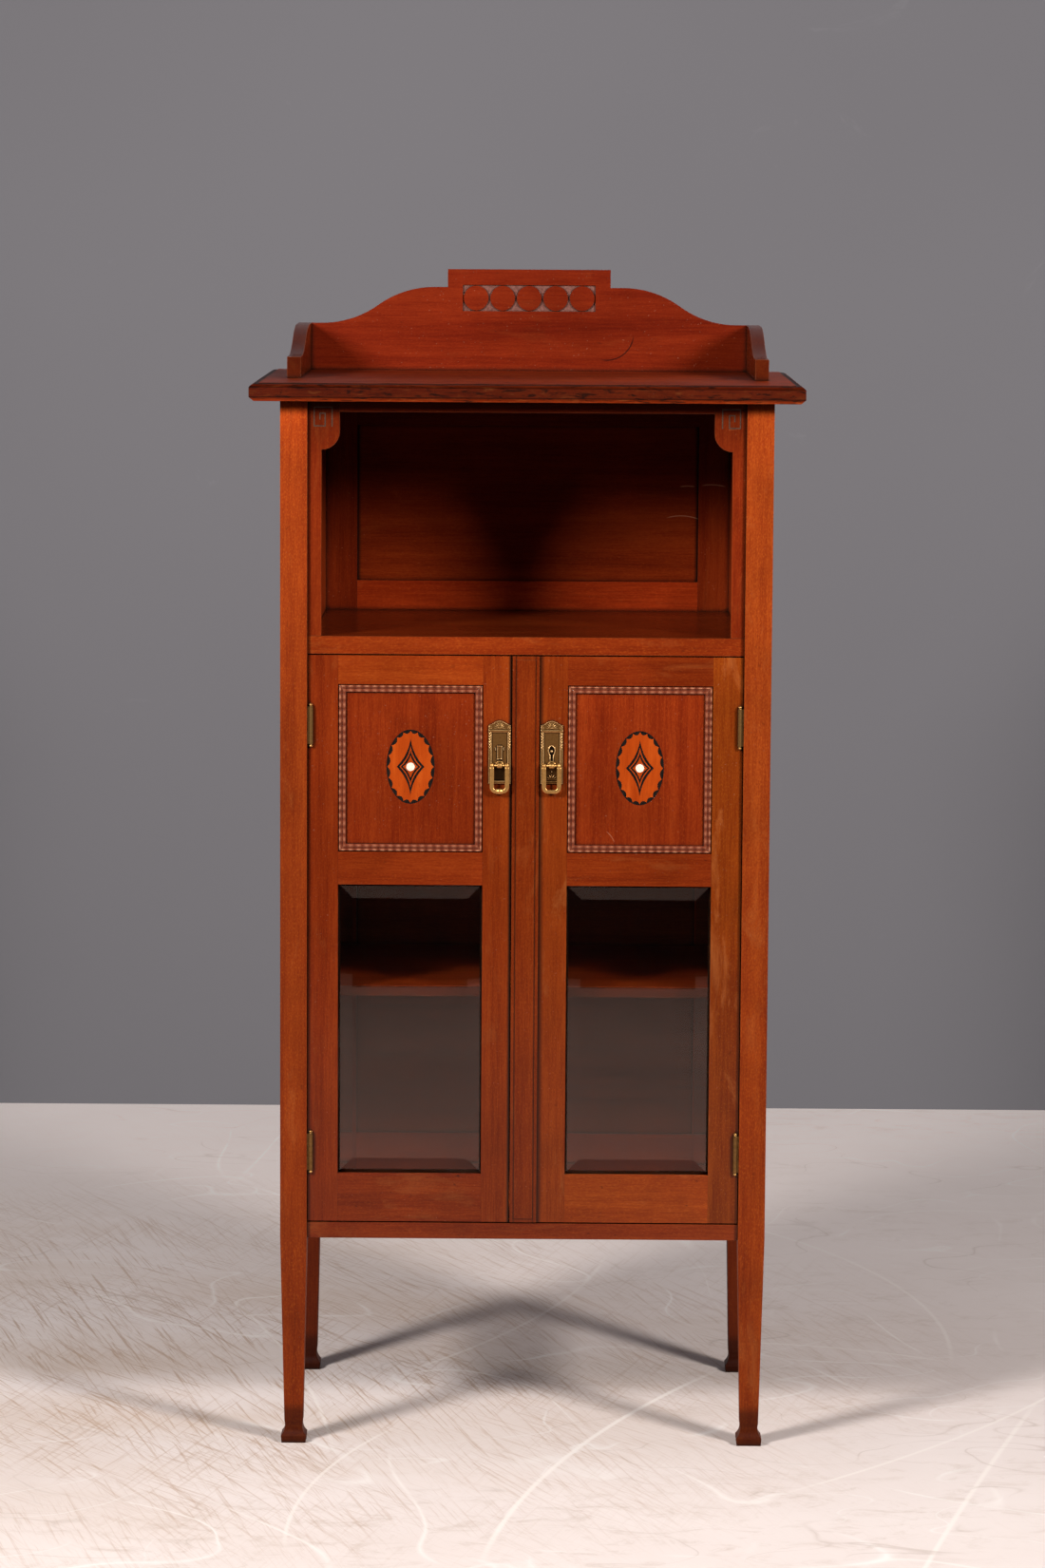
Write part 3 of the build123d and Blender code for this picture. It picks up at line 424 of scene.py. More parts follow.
def joined_faces():
    """A node tree that joins the split corners of a CAD mesh and clears its stored normals."""
    tree = bpy.data.node_groups.new("joined_faces", "GeometryNodeTree")
    tree.interface.new_socket("Geometry", in_out="INPUT", socket_type="NodeSocketGeometry")
    tree.interface.new_socket("Geometry", in_out="OUTPUT", socket_type="NodeSocketGeometry")
    start = tree.nodes.new("NodeGroupInput")
    merge = tree.nodes.new("GeometryNodeMergeByDistance")
    merge.inputs["Distance"].default_value = MERGE_DISTANCE
    clear = tree.nodes.new("GeometryNodeRemoveAttribute")
    clear.inputs["Name"].default_value = "custom_normal"
    smooth = tree.nodes.new("GeometryNodeSetShadeSmooth")
    end = tree.nodes.new("NodeGroupOutput")
    tree.links.new(start.outputs[0], merge.inputs["Geometry"])
    tree.links.new(merge.outputs[0], clear.inputs["Geometry"])
    tree.links.new(clear.outputs[0], smooth.inputs["Geometry"])
    tree.links.new(smooth.outputs[0], end.inputs[0])
    return tree


joined_faces_tree = joined_faces()


def soften(piece, width, segments=2):
    join = piece.modifiers.new("join", "NODES")
    join.node_group = joined_faces_tree
    plain = piece.modifiers.new("plain", "DECIMATE")
    plain.decimate_type = "DISSOLVE"
    plain.angle_limit = math.radians(1)
    bevel = piece.modifiers.new("bevel", "BEVEL")
    bevel.width = width
    bevel.segments = segments
    bevel.limit_method = "ANGLE"
    bevel.angle_limit = SHARP_ANGLE
    bevel.material = 1
    bevel.miter_outer = "MITER_ARC"
    normals = piece.modifiers.new("normals", "WEIGHTED_NORMAL")
    normals.keep_sharp = True
    return piece


def dress(node, *materials):
    """Put materials in the slots of a CAD node."""
    mesh = cad_nodes[node].data
    mesh.materials.clear()
    for material in materials:
        mesh.materials.append(material)


# %% [markdown]
# A maker picks every board for its figure and colour, and no two of the cabinet's are alike. They
# could be painted one by one, but a table can be read and changed in one place. It gives each board
# the run of its grain, its tone and redness, the width and wear of its edges, and how rubbed, dented
# and flecked it is.

# %% Boards: grain, tone, redness, edge width, wear of the edge, rubbed, dents, flecks
WOOD = {
    "leg_front_left": ("Z", 1.30, -0.10, 0.0008, 0.25, 0.35, 0.25, 0.42),
    "leg_front_right": ("Z", 1.24, -0.10, 0.0008, 0.25, 0.35, 0.25, 0.42),
    "leg_back_left": ("Z", 0.85, 0.05, 0.0008, 0.1, 0.2, 0.2, 0.30),
    "leg_back_right": ("Z", 0.85, 0.05, 0.0008, 0.1, 0.2, 0.2, 0.30),
    "side_panel_left": ("Z", 0.95, 0.05, 0.0004, 0.1, 0.2, 0.2, 0.25),
    "side_panel_right": ("Z", 0.95, 0.05, 0.0004, 0.1, 0.2, 0.2, 0.25),
    "top_board": ("X", 0.68, 0.16, 0.0003, 0.0, 0.5, 0.9, 0.20),
    "gallery_back": ("X", 0.62, 0.36, 0.0005, 0.05, 0.1, 0.3, 0.20),
    "gallery_side_left": ("Y", 0.30, 0.05, 0.0006, 0.15, 0.2, 0.4, 0.20),
    "gallery_side_right": ("Y", 0.30, 0.05, 0.0006, 0.15, 0.2, 0.4, 0.20),
    "top_rail": ("X", 0.45, 0.20, 0.0004, 0.1, 0.1, 0.2, 0.20),
    "niche_stile_left": ("Z", 0.80, 0.14, 0.0005, 0.25, 0.2, 0.3, 0.25),
    "niche_stile_right": ("Z", 0.80, 0.14, 0.0005, 0.25, 0.2, 0.3, 0.25),
    "niche_shelf": ("X", 1.02, 0.02, 0.0005, 0.2, 0.3, 0.3, 0.35),
    "bottom_board": ("X", 1.02, 0.0, 0.0005, 0.1, 0.3, 0.4, 0.25),
    "inner_shelf": ("X", 0.60, 0.08, 0.0004, 0.1, 0.2, 0.2, 0.25),
    "shelf_cleats": ("Y", 0.50, 0.05, 0.0004, 0.0, 0.1, 0.2, 0.25),
    "door_stop": ("X", 0.60, 0.05, 0.0004, 0.0, 0.1, 0.2, 0.25),
    "back_stile_left": ("Z", 0.80, 0.16, 0.0003, 0.0, 0.1, 0.2, 0.20),
    "back_stile_right": ("Z", 0.80, 0.16, 0.0003, 0.0, 0.1, 0.2, 0.20),
    "back_rail_top": ("X", 0.70, 0.16, 0.0003, 0.0, 0.1, 0.2, 0.20),
    "back_rail_middle": ("X", 1.45, 0.20, 0.0003, 0.0, 0.1, 0.2, 0.20),
    "back_rail_bottom": ("X", 0.80, 0.16, 0.0003, 0.0, 0.1, 0.2, 0.20),
    "back_panel_upper": ("X", 0.86, 0.12, 0.0003, 0.0, 0.1, 0.2, 0.20),
    "back_panel_lower": ("X", 0.50, 0.05, 0.0003, 0.0, 0.1, 0.2, 0.20),
    "door_right_centre_strip": ("Z", 0.92, -0.04, 0.0004, 0.15, 0.3, 0.3, 0.30),
    "door_left_hinge_stile": ("Z", 0.92, 0.06, 0.0002, 0.0, 0.2, 0.2, 0.25),
    "door_left_meeting_stile": ("Z", 0.98, -0.06, 0.0002, 0.0, 0.2, 0.2, 0.25),
    "door_left_top_rail": ("X", 1.18, -0.06, 0.0002, 0.0, 0.15, 0.2, 0.25),
    "door_left_middle_rail": ("X", 0.96, 0.06, 0.0002, 0.0, 0.15, 0.2, 0.25),
    "door_left_bottom_rail": ("X", 0.95, 0.04, 0.0002, 0.0, 0.3, 0.8, 0.25),
    "door_left_panel": ("Z", 0.93, 0.14, 0.0002, 0.0, 0.05, 0.2, 0.25),
    "door_left_glazing_beads": ("Z", 0.60, 0.08, 0.0002, 0.0, 0.1, 0.2, 0.25),
    "door_right_hinge_stile": ("Z", 1.16, -0.38, 0.0002, 0.0, 0.6, 0.3, 0.25),
    "door_right_meeting_stile": ("Z", 0.95, -0.10, 0.0002, 0.0, 0.7, 0.3, 0.25),
    "door_right_top_rail": ("X", 0.90, 0.04, 0.0002, 0.0, 0.3, 0.3, 0.25),
    "door_right_middle_rail": ("X", 0.96, 0.02, 0.0002, 0.0, 0.3, 0.3, 0.25),
    "door_right_bottom_rail": ("X", 1.52, -0.20, 0.0002, 0.0, 0.7, 0.4, 0.25),
    "door_right_panel": ("Z", 1.00, 0.14, 0.0002, 0.0, 0.05, 0.2, 0.25),
    "door_right_glazing_beads": ("Z", 0.60, 0.08, 0.0002, 0.0, 0.1, 0.2, 0.25),
}
print("boards in the table:", len(WOOD))

# %% [markdown]
# Some boards have more: a tone that changes with the height, black lines in the gaps, a darker rear
# face, or a single scratch. On the top board the tone paints light and shade along its profile, and
# on the heads of the niche stiles it paints the shadow of the top board. The black lines are old
# polish and painted shade. Each of these was measured on the photograph and put at its place in
# metres, because noise alone never puts a mark where the real one is.

# %% Marks, painted light and painted shade of single boards
LEVELS = {
    # Painted light and shade along the profile of the top board: a bright line on its lower chamfer and dark
    # lines between its steps.
    "top_board": (
        (1.2961, 0.20), (1.2963, 2.60), (1.2980, 2.00), (1.2998, 1.20), (1.3006, 0.80), (1.3010, 0.12),
        (1.3016, 0.12), (1.3020, 0.36), (1.3125, 0.40), (1.3131, 0.08), (1.3140, 0.28), (1.3165, 0.60),
        (1.3168, 0.08), (1.3174, 0.08), (1.3177, 1.40), (1.3180, 1.05),
    ),
    "leg_front_left": (
        (0.0, 0.32), (0.040, 0.42), (0.052, 1.05), (0.3, 1.0), (0.8, 0.83), (1.1, 0.90), (1.29, 1.18),
    ),
    "leg_front_right": (
        (0.0, 0.32), (0.040, 0.42), (0.052, 1.1), (0.3, 1.05), (0.8, 0.90), (1.1, 0.92), (1.29, 1.0),
    ),
    "leg_back_left": ((0.0, 0.32), (0.040, 0.42), (0.052, 1.0), (1.29, 1.0)),
    "leg_back_right": ((0.0, 0.32), (0.040, 0.42), (0.052, 1.0), (1.29, 1.0)),
    # Painted shadow of the top board on the heads of the niche stiles.
    "niche_stile_left": ((1.00, 1.0), (1.20, 1.0), (1.26, 0.62), (1.296, 0.42)),
    "niche_stile_right": ((1.00, 1.0), (1.20, 1.0), (1.26, 0.62), (1.296, 0.42)),
    "niche_shelf": ((0.9870, 1.0), (1.0080, 1.0), (1.0089, 0.45)),
    "inner_shelf": ((0.5580, 0.28), (0.5700, 0.32), (0.5709, 1.0)),
}
# Black lines of old polish and painted shade: the gap and the shadow beside the raised centre strip, its
# rebates, and the edges of the recessed back panel.
SEAMS_AND_SHADOWS = {
    "door_left_meeting_stile": ((-0.0175, 0.0040, 0.97),),
    "door_right_meeting_stile": ((0.0185, 0.0050, 0.75),),
    "door_right_centre_strip": ((-0.0114, 0.0012, 0.6), (0.0124, 0.0012, 0.6)),
    "back_panel_upper": ((-0.2206, 0.0050, 0.98), (0.2206, 0.0050, 0.98)),
}
BACKS = {
    "back_rail_middle": (0.202, 0.50),
    "back_panel_upper": (0.203, 0.85),
    "back_stile_right": (0.202, 0.95),
}
DARK_SCRATCH, PALE_SCRATCH = (0.012, 0.003, 0.002, 1), (0.50, 0.22, 0.12, 1)
SCRATCHES = {
    "gallery_back": [
        (((0.0974, 0.209, 1.3323), (0.1207, 0.209, 1.3386), (0.1352, 0.209, 1.3656)),
         0.0012, 0.85, DARK_SCRATCH),
    ],
    "back_panel_upper": [
        (((0.1777, 0.198, 1.1297), (0.2010, 0.198, 1.1330), (0.2206, 0.198, 1.1290)),
         0.0009, 0.6, PALE_SCRATCH),
        (((0.1950, 0.198, 1.1704), (0.2060, 0.198, 1.1716), (0.2180, 0.198, 1.1706)),
         0.0011, 0.9, PALE_SCRATCH),
    ],
    "back_stile_right": [
        (((0.2227, 0.194, 1.1722), (0.2400, 0.194, 1.1736), (0.2572, 0.194, 1.1708)),
         0.0011, 0.9, PALE_SCRATCH),
    ],
    "top_board": [
        (((-0.240, 0.200, 1.318), (-0.200, 0.196, 1.318), (-0.160, 0.202, 1.318)),
         0.0020, 0.6, PALE_SCRATCH),
    ],
    "door_right_panel": [
        (((0.100, -0.179, 0.770), (0.106, -0.179, 0.764), (0.110, -0.179, 0.756)),
         0.0008, 0.25, PALE_SCRATCH),
    ],
}
print("boards with marks:", len({*LEVELS, *SEAMS_AND_SHADOWS, *BACKS, *SCRATCHES}))

# %% [markdown]
# Now each board gets two materials: one for its faces, and a more worn one for the edges that the
# bevel makes. The polish is duller on the top board and on the legs, which are wiped and knocked
# more than the rest.

# %% Dress the boards
GLOSS, COAT = 0.16, 0.5
TOP_GLOSS, TOP_COAT = 0.32, 0.2
LEG_GLOSS, LEG_COAT = 0.30, 0.3

for seed, (node, values) in enumerate(sorted(WOOD.items()), start=1):
    grain, tone, red, edge, wear, rubbed, dents, fleck = values
    marks = (LEVELS.get(node, ()), SEAMS_AND_SHADOWS.get(node, ()), SCRATCHES.get(node, ()), BACKS.get(node))
    gloss, coat = GLOSS, COAT
    if node == "top_board":
        gloss, coat = TOP_GLOSS, TOP_COAT
    if node.startswith("leg_"):
        gloss, coat = LEG_GLOSS, LEG_COAT
    surface = (rubbed, dents, fleck, marks, gloss, coat)
    faces = mahogany(f"mahogany_{node}", grain, seed, tone, red, 0.0, *surface)
    edges = mahogany(f"worn_edge_{node}", grain, seed, tone, red, wear, *surface)
    dress(node, faces, edges)
    soften(cad_nodes[node], edge)
print("boards dressed:", len(WOOD))

# %% [markdown]
# The inlay: an orange satinwood ground, black stained wood and a disc of mother of pearl. These are
# small, so one noise each is enough: streaks along the grain for the woods, soft clouds for the
# pearl. The fret lines at the top of the niche are the same work in a brown wood, made darker still as
# painted shadow of the top board.

# %% Inlay woods and pearl


def satinwood():
    wood = Chain("satinwood")
    ribbons = wood.noise(wood.place((60, 60, 9)), 1.0, 4, 0.6, 0.4)
    ticks = wood.noise(wood.place((900, 900, 90)), 1.0, 2, 0.6)
    colour = wood.ramp(ribbons, [
        (0.30, (0.28, 0.031, 0.002)), (0.55, (0.38, 0.051, 0.004)), (0.75, (0.46, 0.078, 0.008)),
    ])
    tick_mask = wood.ramp(ticks, [(0.56, grey(0)), (0.70, grey(1))])
    colour = wood.mix(wood.math("MULTIPLY", tick_mask, 0.5), colour, (0.22, 0.03, 0.003, 1))
    return wood.finish(Base_Color=colour, Roughness=0.42, Specular_IOR_Level=0.05, Coat_Weight=0.3,
                       Coat_Roughness=0.15)


def black_wood():
    wood = Chain("black_wood")
    streaks = wood.noise(wood.place((700, 700, 60)), 1.0, 2, 0.6)
    colour = wood.ramp(streaks, [(0.35, (0.003, 0.0025, 0.0025)), (0.70, (0.012, 0.008, 0.006))])
    return wood.finish(Base_Color=colour, Roughness=0.45, Specular_IOR_Level=0.1, Coat_Weight=0.2,
                       Coat_Roughness=0.18)


def pearl():
    shell = Chain("mother_of_pearl")
    clouds = shell.noise(shell.place((420, 420, 420)), 1.0, 3, 0.6, 1.5)
    colour = shell.ramp(clouds, [
        (0.30, (0.74, 0.56, 0.44)), (0.5, (0.80, 0.72, 0.60)), (0.70, (0.70, 0.76, 0.68)),
    ])
    return shell.finish(Base_Color=colour, Roughness=0.22, Coat_Weight=0.5, Coat_Roughness=0.08)


def boxwood():
    wood = Chain("boxwood_line")
    streaks = wood.noise(wood.place((300, 300, 300)), 1.0, 2, 0.6)
    # A very dark brown: the wood, with the painted shadow of the top board.
    colour = wood.ramp(streaks, [(0.35, (0.034, 0.012, 0.005)), (0.70, (0.068, 0.026, 0.012))])
    return wood.finish(Base_Color=colour, Roughness=0.45, Coat_Weight=0.2, Coat_Roughness=0.2)


satinwood_material, black_material, pearl_material = satinwood(), black_wood(), pearl()
for side in ("left", "right"):
    dress(f"door_{side}_inlay_ground", satinwood_material)
    dress(f"door_{side}_inlay_dark", black_material)
    dress(f"door_{side}_inlay_pearl", pearl_material)
dress("key_lines", boxwood())
print("inlay materials:", satinwood_material.name, black_material.name, pearl_material.name)

# %% [markdown]
# Brass that has not been cleaned for years: bright where fingers rub it, and dark in the hollows with brown
# patina and painted shade.
# The ambient occlusion node finds the large hollows, and it does so from any side. The cast relief
# of the plates is finer than that, so their meshes carry a tone at every point: low in a hollow of
# the relief and high on a ridge.

# %% Brass


def aged_shaded_brass(name, shine=1.0, toned=False):
    brass = Chain(name)
    spots = brass.noise(brass.place((260, 260, 260)), 1.0, 4, 0.65)
    hollow_shade = brass.add("ShaderNodeAmbientOcclusion", {"Distance": 0.005}, samples=5).outputs["AO"]
    colour = brass.ramp(spots, [(0.35, (0.36 * shine, 0.185 * shine, 0.052 * shine)),
                                (0.70, (0.60 * shine, 0.345 * shine, 0.115 * shine))])
    # On a plate the tone also carries painted shade and a painted glint.
    if toned:
        tone = brass.add("ShaderNodeAttribute", attribute_name="tone").outputs["Fac"]
        low = brass.ramp(tone, [(0.05, grey(0.03)), (0.42, (0.66, 0.54, 0.42)), (0.60, grey(1.0))])
        colour = brass.mix(1.0, colour, low, "MULTIPLY")
        high = brass.ramp(tone, [(0.58, grey(0)), (0.80, grey(1))])
        colour = brass.mix(high, colour, (0.62, 0.39, 0.17, 1))
    # Painted shade with brown patina: near black where the ambient occlusion node finds a hollow.
    unshaded_brass = brass.ramp(hollow_shade, [(0.30, grey(0)), (0.80, grey(1))])
    colour = brass.mix(unshaded_brass, (0.030, 0.017, 0.008, 1), colour)
    roughness = brass.ramp(spots, [(0.30, grey(0.46)), (0.75, grey(0.30))])
    brass.bump(spots, 0.15, 0.0001)
    return brass.finish(Base_Color=colour, Metallic=0.85, Roughness=roughness)


plate_brass = aged_shaded_brass("brass_plate", 0.66, True)
eye_brass = aged_shaded_brass("brass_eye", 1.05)
bail_brass = aged_shaded_brass("brass_bail", 1.15)
hinge_brass = aged_shaded_brass("brass_hinge", 0.45)
tip_brass = aged_shaded_brass("brass_tip", 1.0)
for side in ("left", "right"):
    dress(f"door_{side}_handle_plate", plate_brass)
    dress(f"bail_{side}", bail_brass)
    dress(f"door_{side}_hinge_leaves", hinge_brass)
dress("hinge_leaves_frame", hinge_brass)
dress("hinge_pins", hinge_brass)
print("brass on the doors and the frame")

# %% [markdown]
# The lock is steel and is only seen on the edge of the open right door. It needs no more than grey
# metal with a few brown spots.

# %% Steel of the lock


def lock_steel():
    steel = Chain("lock_steel")
    spots = steel.noise(steel.place((150, 150, 150)), 1.0, 4, 0.6)
    colour = steel.ramp(spots, [(0.3, (0.16, 0.13, 0.11)), (0.7, (0.32, 0.30, 0.28))])
    return steel.finish(Base_Color=colour, Metallic=1.0, Roughness=0.45)


dress("door_right_lock", lock_steel())
print("lock dressed")

# %% [markdown]
# Glass. The pane is a real solid with a ground bevel round its front, so the shader only has to be
# clear glass. A shadow ray passes it as if it were air, because the light that real glass bends on
# its way in would otherwise be lost.

# %% Glass


def clear_glass():
    glass = Chain("clear_glass")
    waves = glass.noise(glass.place((7, 7, 3)), 1.0, 2, 0.5)
    tint = glass.ramp(waves, [(0.3, (0.90, 0.92, 0.89)), (0.7, (0.94, 0.95, 0.93))])
    glass.finish(Base_Color=tint, Roughness=0.0, Transmission_Weight=1.0, IOR=1.5)
    glass.bump(waves, 0.05, 0.0005)
    open_air = glass.add("ShaderNodeBsdfTransparent", {"Color": (0.90, 0.92, 0.90, 1)})
    ray = glass.add("ShaderNodeLightPath").outputs["Is Shadow Ray"]
    both = glass.add("ShaderNodeMixShader", {0: ray, 1: glass.shader.outputs[0], 2: open_air.outputs[0]})
    glass.links.new(both.outputs[0], glass.output.inputs["Surface"])
    return glass.material


glass_material = clear_glass()
for side in ("left", "right"):
    dress(f"door_{side}_glass", glass_material)
print("panes dressed:", glass_material.name)

# %% [markdown]
# From here on, pieces that a CAD model leaves plain are built as meshes. Each one is a list of
# points and a list of faces, rides on the body that carries it, and takes the finish it is given.
# Their sizes are in millimetres, as a maker writes them, and MM turns them into metres.

# %% Mesh helpers
MM = 0.001


def mesh_piece(name, points, faces, body, slot, material, replaced=(), tones=()):
    """A smooth mesh object from points in millimetres. Tones are one level a point for its material."""
    mesh = bpy.data.meshes.new(name)
    mesh.from_pydata([(x * MM, y * MM, z * MM) for x, y, z in points], [], faces)
    if tones:
        layer = mesh.attributes.new("tone", "FLOAT", "POINT")
        layer.data.foreach_set("value", list(tones) + [0.5] * (len(points) - len(tones)))
    shell = bmesh.new()
    shell.from_mesh(mesh)
    bmesh.ops.remove_doubles(shell, verts=shell.verts, dist=0.000001)
    bmesh.ops.recalc_face_normals(shell, faces=shell.faces)
    shell.to_mesh(mesh)
    shell.free()
    mesh.materials.append(material)
    for polygon in mesh.polygons:
        polygon.use_smooth = True
    piece = bpy.data.objects.new(name, mesh)
    bpy.context.scene.collection.objects.link(piece)
    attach(piece, body)
    if replaced:
        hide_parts(*replaced)
    print(name, len(mesh.polygons), "faces")
    return piece


def grid_faces(rows, columns, start=0):
    """Faces of a grid whose points are listed row by row."""
    return [
        (start + r * columns + c, start + r * columns + c + 1,
         start + (r + 1) * columns + c + 1, start + (r + 1) * columns + c)
        for r in range(rows - 1) for c in range(columns - 1)
    ]


# %% Turned and gathered shapes


def turned(profile, centre, axis="X", steps=24, squash=1.0):
    """Points and faces of a turned shape. The profile is a list of (place along the axis, radius)."""
    points = []
    for place, radius in profile:
        for step in range(steps):
            angle = 2 * math.pi * step / steps
            across, up = radius * math.cos(angle) * squash, radius * math.sin(angle)
            offset = {"X": (place, across, up), "Y": (across, place, up), "Z": (across, up, place)}[axis]
            points.append(tuple(centre[i] + offset[i] for i in range(3)))
    faces = []
    for ring in range(len(profile) - 1):
        for step in range(steps):
            after = (step + 1) % steps
            here, beyond = ring * steps, (ring + 1) * steps
            faces.append((here + step, here + after, beyond + after, beyond + step))
    faces.append(tuple(range(steps)))
    faces.append(tuple(range((len(profile) - 1) * steps, len(profile) * steps)))
    return points, faces


def gathered(parts):
    """Several shapes in one list of points and faces."""
    points, faces = [], []
    for part_points, part_faces in parts:
        start = len(points)
        points += part_points
        faces += [tuple(start + index for index in face) for face in part_faces]
    return points, faces


def ball_profile(radius, half_length, count=9):
    """A rounded bead, from one end to the other."""
    ends = []
    for step in range(count):
        angle = math.pi * (step + 0.35) / (count - 0.3)
        ends.append((-half_length * math.cos(angle), radius * math.sin(angle)))
    return ends


# %% [markdown]
# Ripple moulding frames each panel. The real one was planed with a cutter that rose and fell, so
# three reeds run along it and small waves cross it. The CAD model keeps its size with a few flat
# facets. Here a grid of points follows the reeds one way and the waves the other way, and the four
# lengths meet in mitres. Each crest is painted pale, a painted highlight with the polish rubbed thin,
# and the grooves and the foot of the moulding get painted shade. The mesh says which is which by its tones.

# %% Ripple moulding
RIPPLE_WIDTH = 8.8
RIPPLE_PITCH = 9.8
RIPPLE_HALF_WIDTH = 87.7
RIPPLE_HALF_HEIGHT = 102.2
PANEL_CENTRE_X = 140.5
PANEL_CENTRE_Z = 846.6
PANEL_FRONT = -179.0
RIPPLE_STEPS = 10
SECTION_STEPS = 42
GROOVE_HEIGHT = 1.35

# Each reed: its middle, half width, foot and rise
REEDS = ((1.30, 1.30, 1.7, 1.0), (3.55, 0.72, 1.7, 0.55), (6.55, 2.15, 1.5, 1.1))


def reed(place, middle, half_width, foot, rise):
    """Height of one half-round reed over its foot."""
    share = (place - middle) / half_width
    return foot + rise * math.sqrt(max(0.0, 1 - share * share)) if abs(share) < 1 else 0.0


def ripple_section():
    """Place across the moulding, height, and how much the waves lift it there."""
    section = [(0.0, 0.0, 0.0), (0.02, 1.7, 0.2)]
    for step in range(1, SECTION_STEPS):
        place = RIPPLE_WIDTH * step / SECTION_STEPS
        height = max(GROOVE_HEIGHT, *(reed(place, *shape) for shape in REEDS))
        section.append((place, height, 1.0))
    section += [(RIPPLE_WIDTH - 0.02, 1.3, 0.2), (RIPPLE_WIDTH, 0.0, 0.0)]
    return section


def ripple_painted_light(place, height, lift, wave):
    """Painted light: black shade at the foot, dark shade between the reeds, a pale highlight on the crests.
    """
    if lift < 1:
        return 0.0
    ridge = max(0.0, (height - 1.6) / 1.1)
    outer = 0.10 if place < 2.6 else 0.0
    return min(1.0, 0.22 + 0.30 * ridge + (0.40 + outer) * ridge * max(0.0, wave - 0.45) / 0.55)


# %% Frame of four lengths


def ripple_frame(side):
    section = ripple_section()
    points, faces, tones = [], [], []
    for quarter in range(4):
        reach, drop = RIPPLE_HALF_WIDTH, RIPPLE_HALF_HEIGHT
        if quarter % 2:
            reach, drop = drop, reach
        waves = round(2 * reach / RIPPLE_PITCH)
        rows = waves * RIPPLE_STEPS + 1
        turn_cos, turn_sin = ((1, 0), (0, 1), (-1, 0), (0, -1))[quarter]
        start = len(points)
        for row in range(rows):
            share = 2 * row / (rows - 1) - 1
            for place, height, lift in section:
                run = share * (reach - place)
                wave = abs(math.sin(math.pi * waves * (run + reach) / (2 * reach))) ** 0.8
                across, up = run, place - drop
                x = PANEL_CENTRE_X + across * turn_cos - up * turn_sin
                z = PANEL_CENTRE_Z + across * turn_sin + up * turn_cos
                points.append((side * x, PANEL_FRONT - height - 0.6 * lift * wave, z))
                tones.append(ripple_painted_light(place, height, lift, wave))
        faces += grid_faces(rows, len(section), start)
    return points, faces, tones


def ripple_polish_and_light():
    wood = Chain("ripple_polish_and_light")
    tone = wood.add("ShaderNodeAttribute", attribute_name="tone").outputs["Fac"]
    rub = wood.noise(wood.place((500, 500, 500)), 1.0, 2, 0.6)
    level = wood.math("ADD", tone, wood.math("MULTIPLY", wood.math("SUBTRACT", rub, 0.5), 0.35))
    # Painted light and shade from the tone: black at the foot, pale highlight on the crests.
    colour = wood.ramp(level, [(0.05, (0.008, 0.003, 0.002)), (0.22, (0.050, 0.010, 0.006)),
                               (0.50, (0.155, 0.031, 0.012)), (0.75, (0.235, 0.070, 0.036)),
                               (1.0, (0.425, 0.168, 0.090))])
    return wood.finish(Base_Color=colour, Roughness=0.35, Specular_IOR_Level=0.1, Coat_Weight=0.35,
                       Coat_Roughness=0.10)


# %% Both ripple frames
ripple_wood = ripple_polish_and_light()
for side_name, side in (("left", -1), ("right", 1)):
    ripple_points, ripple_faces, ripple_light_levels = ripple_frame(side)
    door = f"door_{side_name}"
    mesh_piece(f"ripple_frame_{side_name}", ripple_points, ripple_faces, door, "mahogany", ripple_wood,
               [f"{door}_ripple_moulding"], ripple_light_levels)

# %% [markdown]
# The oval inlay. A real one is veneer, cut with a fretsaw and let in flush. Here it is a stack of
# thin plates, each a few hundredths of a millimetre proud of the one under it, which keeps every
# outline a simple closed line. The sides of the scallops and of the lozenges are true curves.

# %% Oval inlay
OVAL_CENTRE_Z = PANEL_CENTRE_Z + 1.8
OVAL_HALF_WIDTH = 29.5
OVAL_HALF_HEIGHT = 45.7
SCALLOPS = 20
SCALLOP_RIM = 1.1
SCALLOP_BULGE = 3.0
LOZENGE_SAG_SHARE = 0.085
LAYER = 0.03
VENEER_DEPTH = 0.5
PEARL_RADIUS = 5.15


def swollen(start, end, sag, count):
    """Points of a curve from start to end that swells to the left of the way."""
    way = (end[0] - start[0], end[1] - start[1])
    length = math.hypot(*way)
    side_x, side_y = -way[1] / length, way[0] / length
    points = []
    for step in range(count):
        share = step / count
        rise = 4 * sag * share * (1 - share)
        points.append((start[0] + way[0] * share + side_x * rise, start[1] + way[1] * share + side_y * rise))
    return points


def ellipse_line(half_width, half_height, count):
    """Points round an ellipse, or round a circle where the two sizes are the same."""
    angles = [2 * math.pi * n / count for n in range(count)]
    return [(half_width * math.cos(angle), half_height * math.sin(angle)) for angle in angles]


def scalloped_line():
    half_width, half_height = OVAL_HALF_WIDTH - SCALLOP_RIM, OVAL_HALF_HEIGHT - SCALLOP_RIM
    corners = []
    for number in range(SCALLOPS):
        angle = math.pi / 2 + 2 * math.pi * number / SCALLOPS
        corners.append((half_width * math.cos(angle), half_height * math.sin(angle)))
    line = []
    for start, end in zip(corners, corners[1:] + corners[:1]):
        line += swollen(start, end, SCALLOP_BULGE, 10)
    return line


def lozenge_line(width_share, height_share):
    half_width, half_height = width_share * OVAL_HALF_WIDTH, height_share * OVAL_HALF_HEIGHT
    corners = [(half_width, 0), (0, half_height), (-half_width, 0), (0, -half_height)]
    line = []
    for start, end in zip(corners, corners[1:] + corners[:1]):
        line += swollen(start, end, LOZENGE_SAG_SHARE * math.hypot(half_width, half_height), 12)
    return line


# %% Both ovals


